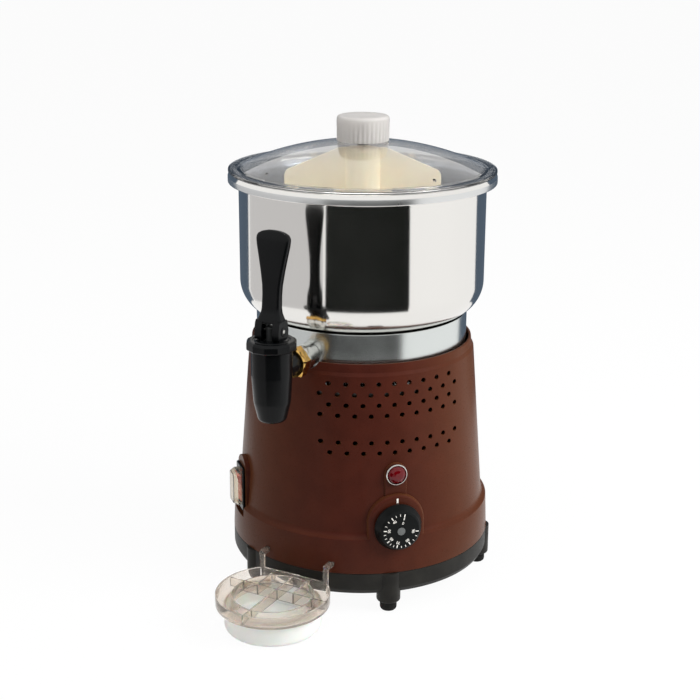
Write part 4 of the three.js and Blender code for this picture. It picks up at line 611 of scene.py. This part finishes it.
known_heights = [294, 296, 298, 300, 303, 307, 318, 327, 340, 352, 362, 367, 369.5, 371.8, 373.9, 375.1, 375.5]
known_widths = [12.2, 12.1, 11.5, 10.6, 9.5, 8.9, 8.75, 9.2, 11.3, 13.7, 15.8, 16.4, 16.1, 14.7, 10.8, 5.6, 0]
known_halves = [6.4, 6.2, 5.8, 5.2, 4.6, 4.2, 4.0, 4.0, 4.0, 4.0, 3.9, 3.8, 3.6, 3.3, 2.7, 1.9, 0]
levels = np.concatenate([[294], np.linspace(294, 369, 44), 369 + 6.5 * np.sin(np.linspace(0.1, np.pi / 2, 16))])
widths = np.interp(levels, known_heights, known_widths)
halves = np.interp(levels, known_heights, known_halves)
widths[0] = halves[0] = widths[-1] = halves[-1] = 0
lever_blade = blade(levels, widths, -halves, halves, 5)
lean = np.radians(4)
leaning = np.array([[1, 0, 0], [0, np.cos(lean), -np.sin(lean)], [0, np.sin(lean), np.cos(lean)]])
lever_blade = ((lever_blade[0] - [0, 0, pin_height]) @ leaning + [0, 0, pin_height], *lever_blade[1:])
cheek = softened([(-8.2, 278.9), (7.6, 278.9), (8.4, 287), (6.6, 296.4), (-6.6, 296.4), (-8.4, 287)],
                 [2.5, 5, 4, 3, 3, 4], True, 5)
cheeks = [sideways(prism(cheek, low, high)) for low, high in ((-12.4, -5.5), (5.5, 12.4))]
bridge = sideways(prism(softened([(-6.4, 294.1), (6.4, 294.1), (6.4, 296.8), (-6.4, 296.8)], [1] * 4, True),
                        -12.1, 12.1))
bosses = [sideways(turned(softened([(0, low), (4.2, low), (4.2, high), (0, high)], [0, 0.4, 0.4, 0]), 40))
          for low, high in ((-12.9, -6), (6, 12.9))]
piece("lever_moulding", [on_circle(shape, tap, 0) for shape in (lever_blade, *cheeks, bridge)]
      + [on_circle(shape, tap, 0, pin_height) for shape in bosses],
      gloss_black, body="lever", nodes=["tap_lever"], crisp=40)
pin = turned(softened([(0, -13.1), (2, -13.1), (2, 13.1), (0, 13.1)], [0, 0.7, 0.7, 0]), 32)
piece("lever_hinge_pin", [on_circle(sideways(pin), tap, 0, pin_height)], turned_steel,
      body="lever", nodes=["lever_pin"])


# Drip tray: a smoke-clear styrene grille with a round rail, a straight back, crossed ribs and two hooks with
# pegs, over a milky polyethylene cup.
# Where the grille turns away it passes to a darker warm tone: painted edge shade.
smoked = finish("smoke_styrene_painted_edge_shade", (tone(250, 246, 240), tone(253, 250, 246)), 0.05, 80, 3e-6,
                painted_edge_tone=tone(214, 192, 168), Transmission_Weight=0.93, IOR=1.45)
tray = 172.5
rail = turned(softened(
    [(36.7, 20), (38.5, 20), (38.5, 24), (53.3, 24), (53.3, 35.5), (51.5, 35.5), (51.5, 26), (38.5, 26),
     (38.5, 33.5), (36.7, 33.5)], [0.5, 0.5, 0.3, 1.4, 0.7, 0.7, 0.8, 0.6, 0.6, 0.6], True, 3), 144, True)
behind = bar(-60, 60, 40, 60, 0, 40)
skirt_behind = bar(-60, 60, 36, 60, 0, 24)
ribs = [bar(-35.1, 35.1, 38.2, 40, 24, 35.5), bar(-51, 51, 6.1, 7.9, 24, 34.5), bar(-0.9, 0.9, -52, 38.7, 24, 34.5),
        bar(-22, -20.2, 7, 38.7, 24, 34.5), bar(16.7, 18.5, 7, 38.7, 24, 34.5)]
posts = [shape for x in (-34.8, 34.8) for shape in (
    bar(x - 2.5, x + 2.5, 37.4, 39.9, 24.1, 52.5), bar(x - 2.5, x + 2.5, 37.6, 53.9, 48.5, 52.5))]


def brought_forward(mesh, reach):
    """A mesh moved from the machine's axis to a reach in front of it, in millimetres."""
    mesh.transform(Matrix.Translation((0, -reach / 1000, 0)))
    return mesh


grille = carved("grille_moulding", [rail], ("DIFFERENCE", [behind]), ("DIFFERENCE", [skirt_behind]),
                *[("UNION", [shape]) for shape in ribs + posts])
piece("grille_moulding", brought_forward(grille, tray), smoked, body="drip_tray",
      nodes=["drip_grille"], crisp=30)

milky = finish("milky_polyethylene", (tone(249, 247, 243), tone(252, 250, 247)), 0.35, 120, 1e-5,
               Transmission_Weight=0.35, IOR=1.35, Subsurface_Weight=0.3, Subsurface_Scale=0.01)
cup_outer = softened([(0, 1), (45.3, 1), (45.3, 23.7), (0, 23.7)], [0, 5, 0.4, 0])
cup_inner = softened([(0, 2.8), (43.5, 2.8), (43.5, 30), (0, 30)], [0, 3.4, 0, 0])
cup = carved("cup_moulding", [turned(cup_outer, 120)], ("DIFFERENCE", [turned(cup_inner, 120)]),
             ("DIFFERENCE", [bar(-60, 60, 36.4, 60, -5, 40)]))
cup_back = carved("cup_back", [bar(-60, 60, 36.4, 38.2, 0.5, 23.7)], ("INTERSECT", [turned(cup_outer, 120)]))
for mesh in (cup, cup_back):
    piece(mesh.name, brought_forward(mesh, tray), milky, body="drip_tray", nodes=["drip_cup"])


# Thermostat and dial: a black moulded knob with a white printed scale and a plain grey hub, on a spindle that
# comes through the housing's arch.
dress(grey, "thermostat_body", "lamp_body")
dial_black = finish("dial_black", (tone(9, 11, 11), tone(13, 15, 15)), 0.34, 900, 1e-5, Specular_IOR_Level=0.12)
dial_profile = softened([(0, 128), (22.9, 128), (22.9, 129.6), (19.2, 137.4), (17.4, 138.84), (0, 138.84)],
                        [0, 0.5, 1, 1.2, 0.8, 0], steps=4)
piece("dial_knob", carved("dial_knob", [on_wall(turned(dial_profile, 96), panel, dial_height)],
                          ("DIFFERENCE", [on_wall(rod(3.2, 126, 135.5), panel, dial_height)])),
      dial_black, body="dial", nodes=["thermostat_dial"])
hub_grey = finish("hub_grey", (tone(84, 86, 86), tone(94, 96, 95)), 0.4, 600, 1e-5, Specular_IOR_Level=0.3)
cap = turned(softened([(0, 138.94), (3.8, 138.94), (3.8, 139.7), (0, 139.7)], [0, 0, 0.5, 0]), 40)
piece("dial_hub_cap", [on_wall(cap, panel, dial_height)], hub_grey, body="dial", nodes=["dial_cap"])


def mark(angle, inner, outer, width):
    """A printed bar on the dial's face along a radius, at an angle clockwise from the top."""
    turned_by = np.radians(angle)
    right, up = np.array([np.cos(turned_by), -np.sin(turned_by)]), np.array([np.sin(turned_by), np.cos(turned_by)])
    outline = np.array([inner * up - right * width / 2, inner * up + right * width / 2,
                        outer * up + right * width / 2, outer * up - right * width / 2])
    return on_wall(prism(outline, 138.8, 138.95), panel, dial_height)


majors = (-33.7, -83.9, -127, -166, -212, -264.6)
steps_between = [(majors[0] + (12 - majors[0]) * share) for share in (1 / 3, 2 / 3)] + [
    first + (second - first) * share for first, second in zip(majors, majors[1:]) for share in (1 / 3, 2 / 3)]
marks = [mark(12, 14, 17, 0.9), mark(12, 11.3, 13.4, 0.9)] + [mark(angle, 14, 17, 0.9) for angle in majors] + [
    mark(angle, 14.9, 17, 0.5) for angle in steps_between]
for text, angle, radius in zip(("0", "40", "50", "60", "70", "80", "90"), (12, *majors), (7.9, *[11.6] * 6)):
    letters = bpy.data.curves.new("numeral", "FONT")
    letters.body, letters.size, letters.extrude, letters.offset = text, 3.7, 0.08, 0.02
    letters.align_x = letters.align_y = "CENTER"
    holder = in_scene("numeral", letters)
    bpy.context.view_layer.update()
    made = bpy.data.meshes.new_from_object(holder.evaluated_get(bpy.context.evaluated_depsgraph_get()))
    places = np.zeros(len(made.vertices) * 3, np.float32)
    made.vertices.foreach_get("co", places)
    places = places.reshape(-1, 3).astype(float)
    clockwise = np.radians(angle)
    turning = np.array([[np.cos(clockwise), -np.sin(clockwise), 0],
                        [np.sin(clockwise), np.cos(clockwise), 0], [0, 0, 1]])
    places = (places + [0, radius, 0]) @ turning + [0, 0, 138.88]
    loops = [list(face.vertices) for face in made.polygons]
    marks.append((on_wall((places, [], []), panel, dial_height)[0], np.zeros((0, 4), int), loops))
    bpy.data.objects.remove(holder)
    bpy.data.meshes.remove(made)
piece("dial_scale", marks, white_print, body="dial")


# Pilot lamp: a thin turned steel ring round a red lens, which is moulded as a twelve-sided dome with facets and
# sits in a hole of the housing's lamp strip.
bezel = turned(softened([(8.9, 120.8), (10.3, 120.8), (10.3, 122.5), (9.8, 123.2), (9.3, 123.2), (8.9, 122.7)],
                       [0.1, 0.3, 0.4, 0.3, 0.2, 0.1], True, 3), 72, True)
piece("lamp_bezel", [on_wall(bezel, panel, lamp_height)], turned_steel, nodes=["lamp_ring"])
lens_red = finish("red_lens", (tone(98, 5, 12), tone(76, 2, 8)), 0.05, 400, 2e-5, Transmission_Weight=0.2, IOR=1.5,
                  Specular_IOR_Level=0.35)
lens = turned([(0, 121.1), (8.7, 121.1), (8.7, 122.5), (7.5, 124.2), (5.3, 125.5), (2.6, 126.1), (0, 126.2)], 12)
piece("lamp_dome", [on_wall(lens, panel, lamp_height)], lens_red, nodes=["lamp_lens"], crisp=5)


# Rocker switch: a thick black moulded frame that sits in a cut-out of the housing's pad, an orange-red rocker with a
# faint painted glow, and a clear splash cover with chamfered edges over it.
def rounded_box(half_x, half_y, radius):
    """A rectangle's outline with rounded corners."""
    return softened([(half_x, -half_y), (half_x, half_y), (-half_x, half_y), (-half_x, -half_y)], [radius] * 4, True)


def lofted(rings):
    """A surface through rings of equal counts, each (outline, level), from one centre point to another."""
    first, last = (np.repeat(outline.mean(0)[None], len(outline), 0) for outline in (rings[0][0], rings[-1][0]))
    stack = [(first, rings[0][1]), *rings, (last, rings[-1][1])]
    points = np.concatenate([np.column_stack([outline, np.full(len(outline), level)]) for outline, level in stack])
    return points, grid(len(stack), len(rings[0][0])), []


frame_rings = [(rounded_box(12.3, 22.3, 1.4), 123.4), (rounded_box(12.5, 22.5, 1.6), 123.7),
               (rounded_box(12.5, 22.5, 1.6), 125.2), (rounded_box(11.8, 21.8, 1.4), 125.9)]
switch_rear = on_wall(bar(-10.3, 10.3, -19, 19, 99.4, 124.4), switch_side, switch_height)
switch_well = on_wall(bar(-7.5, 7.5, -15.4, 15.4, 111.4, 128), switch_side, switch_height)
piece("switch_frame", carved(
    "switch_frame", [on_wall(lofted(frame_rings), switch_side, switch_height)], ("UNION", [switch_rear]),
    ("DIFFERENCE", [switch_well])), gloss_black, nodes=["switch_body"])
# The rocker's faint emission is a painted glow.
painted_glow_orange = finish("painted_glow_orange", (tone(200, 72, 48), tone(212, 84, 58)), 0.25, 300, 8e-6, Coat_Weight=0.3,
                    Emission_Color=tone(222, 70, 40), Emission_Strength=0.1)
tilt = np.radians(9)
rocker_outline = softened([(-14.2, 0), (-6.4, -5), (6.4, -5), (14.2, 0), (13.7, 3.75), (0, 1.75), (-13.7, 3.75)],
                          [0.4, 1, 1, 0.4, 0.6, 12, 0.6], True, 5)
rocker_outline = rocker_outline @ np.array([[np.cos(tilt), np.sin(tilt)], [-np.sin(tilt), np.cos(tilt)]])
rocker = sideways(prism(rocker_outline, -7.1, 7.1))
rocker = rocker[0] + [0, 0, 124.65], *rocker[1:]
piece("rocker_key", [on_wall(rocker, switch_side, switch_height)], painted_glow_orange, body="rocker",
      nodes=["switch_rocker"], edge=0.3)
cover_rings = [(rounded_box(6.4, 14.3, 1.6), 132.9), (rounded_box(8.5, 16.4, 1.8), 129.4),
               (rounded_box(8.5, 16.4, 1.8), 126.2), (rounded_box(9.5, 17.4, 2.4), 126.2),
               (rounded_box(9.5, 17.4, 2.4), 129.6), (rounded_box(7.2, 15.1, 2), 134.1)]
# Where the cover turns away it passes to a beige-grey tone: painted edge shade.
cover_clear_painted_edge_shade = finish("cover_clear_painted_edge_shade", (tone(236, 230, 218), tone(242, 237, 226)), 0.06, 60, 3e-6,
                     painted_edge_tone=tone(196, 184, 164), Transmission_Weight=0.95, IOR=1.46)
piece("splash_cover", [on_wall(lofted(cover_rings), switch_side, switch_height)], cover_clear_painted_edge_shade,
      nodes=["switch_cover"], crisp=30)


# Cable gland: a black nylon moulding in a hole at the back, where the supply enters, with a collar outside and a
# lock nut inside that holds it.
gland = turned(softened(
    [(4, 116), (8, 116), (8, 128.5), (11, 128.5), (11, 133.5), (9, 137), (4, 137)],
    [0.3, 0.4, 0.2, 0.5, 1, 1, 0.6], True, 3), 48, True)
piece("gland_body", [on_wall(gland, rear, gland_height)], satin_black, nodes=["cable_gland"])
dress(satin_black, "gland_nut")


# Studio: a pale paper floor under a white surround, lit by three soft lamps. Grey cards that only reflections see
# stand round the machine, and the camera looks down at it from the right of its tap.
def backdrop_rays(nodes, links):
    """A socket that is 1 for camera, glossy and transmitted rays, which are to see a white backdrop, else 0."""
    path, direct, seeing = added(nodes, "LightPath", "Math", "Math")
    direct.operation = seeing.operation = "MAXIMUM"
    links.new(path.outputs["Is Camera Ray"], direct.inputs[0])
    links.new(path.outputs["Is Glossy Ray"], direct.inputs[1])
    links.new(direct.outputs[0], seeing.inputs[0])
    links.new(path.outputs["Is Transmission Ray"], seeing.inputs[1])
    return seeing.outputs[0]


floor_mesh = bpy.data.meshes.new("studio_floor")
floor_mesh.from_pydata([(-25, -25, 0), (25, -25, 0), (25, 25, 0), (-25, 25, 0)], [], [(0, 1, 2, 3)])
floor = in_scene("studio_floor", floor_mesh)
paper, nodes, links, shader = bare_material(
    "studio_paper", Base_Color=(0.8, 0.8, 0.8, 1), Roughness=0.9, Specular_IOR_Level=0.1)
glow_share, glow, blend = added(nodes, "Math", "Emission", "MixShader")
glow_share.operation, glow_share.inputs[1].default_value = "MULTIPLY", 0.95
links.new(backdrop_rays(nodes, links), glow_share.inputs[0])
links.new(glow_share.outputs[0], blend.inputs["Fac"])
links.new(shader.outputs[0], blend.inputs[1])
links.new(glow.outputs[0], blend.inputs[2])
links.new(blend.outputs[0], nodes["Material Output"].inputs["Surface"])
floor_mesh.materials.append(paper)

world = bpy.data.worlds.new("studio_surround")
bpy.context.scene.world = world
world.use_nodes = True
nodes, links = world.node_tree.nodes, world.node_tree.links
level, = added(nodes, "MapRange")
links.new(backdrop_rays(nodes, links), level.inputs["Value"])
level.inputs["To Min"].default_value, level.inputs["To Max"].default_value = 0.4, 1.0
nodes["Background"].inputs["Color"].default_value = (1, 1, 1, 1)
links.new(level.outputs["Result"], nodes["Background"].inputs["Strength"])


def studio_lamp(name, azimuth, distance, height, size, power):
    """A square soft lamp, placed by its azimuth from the tap, that looks at the machine's middle and shows in no
    reflection."""
    light = bpy.data.lights.new(name, "AREA")
    light.size, light.energy = size, power
    lamp = in_scene(name, light)
    angle = np.radians(azimuth)
    spot = np.array([distance * np.sin(angle), -distance * np.cos(angle), height]) + axis
    aim = np.array([0, 0, 0.2]) + axis - spot
    lamp.location = spot.tolist()
    lamp.rotation_euler = Vector(aim.tolist()).to_track_quat("-Z", "Y").to_euler()
    lamp.visible_glossy = False


studio_lamp("key_lamp", 96, 1.7, 1.3, 1.2, 52)
studio_lamp("fill_lamp", -40, 2.0, 1.3, 1.4, 10)
studio_lamp("top_lamp", 10, 0.6, 2.2, 1.2, 17)


def card(name, start, end, rows, colour, steps=48):
    """A card that only reflections see, bent round the machine's axis from one azimuth to another through rows of
    (radius, height) in metres. The grid's last column of quads, which would close the circle, is left out."""
    rows, quads = np.array(rows), grid(len(rows), steps)
    points = circled(rows[:, :1], rows[:, 1:], np.radians(np.linspace(start, end, steps))) + axis
    mesh = bpy.data.meshes.new(name)
    mesh.from_pydata(points.tolist(), [], quads[quads[:, 1] == quads[:, 0] + 1].tolist())
    shade, nodes, links, _ = bare_material(name)
    glow, = added(nodes, "Emission")
    glow.inputs["Color"].default_value = colour
    links.new(glow.outputs[0], nodes["Material Output"].inputs["Surface"])
    mesh.materials.append(shade)
    made = in_scene(name, mesh)
    made.visible_camera = made.visible_diffuse = made.visible_transmission = made.visible_shadow = False


view_azimuth, look_down, roll = 27.8, 17.45, 0.43
card("front_card", view_azimuth - 31.5, view_azimuth + 41.5, [(0.6, 0.002), (0.92, 0.002), (0.92, 0.34)],
     tone(17, 19, 17))
card("left_card", view_azimuth - 122, view_azimuth - 34, [(0.6, 0.002), (0.96, 0.002), (0.96, 0.34)],
     tone(208, 207, 208))
card("back_card", view_azimuth + 125, view_azimuth + 235, [(0.6, 0.002), (0.92, 0.002), (0.92, 0.7)],
     tone(84, 97, 112))

view = bpy.data.cameras.new("camera")
view.lens, view.sensor_width, view.shift_x = 71.85, 36, -0.0163
camera = in_scene("camera", view)
camera.location = (0.61545, -1.12290, 0.6371)
looking = Matrix.Rotation(np.radians(view_azimuth), 4, "Z") @ Matrix.Rotation(np.radians(90 - look_down), 4, "X")
camera.rotation_euler = (looking @ Matrix.Rotation(np.radians(roll), 4, "Z")).to_euler()
bpy.context.scene.camera = camera
bpy.context.scene.view_settings.view_transform = "Standard"
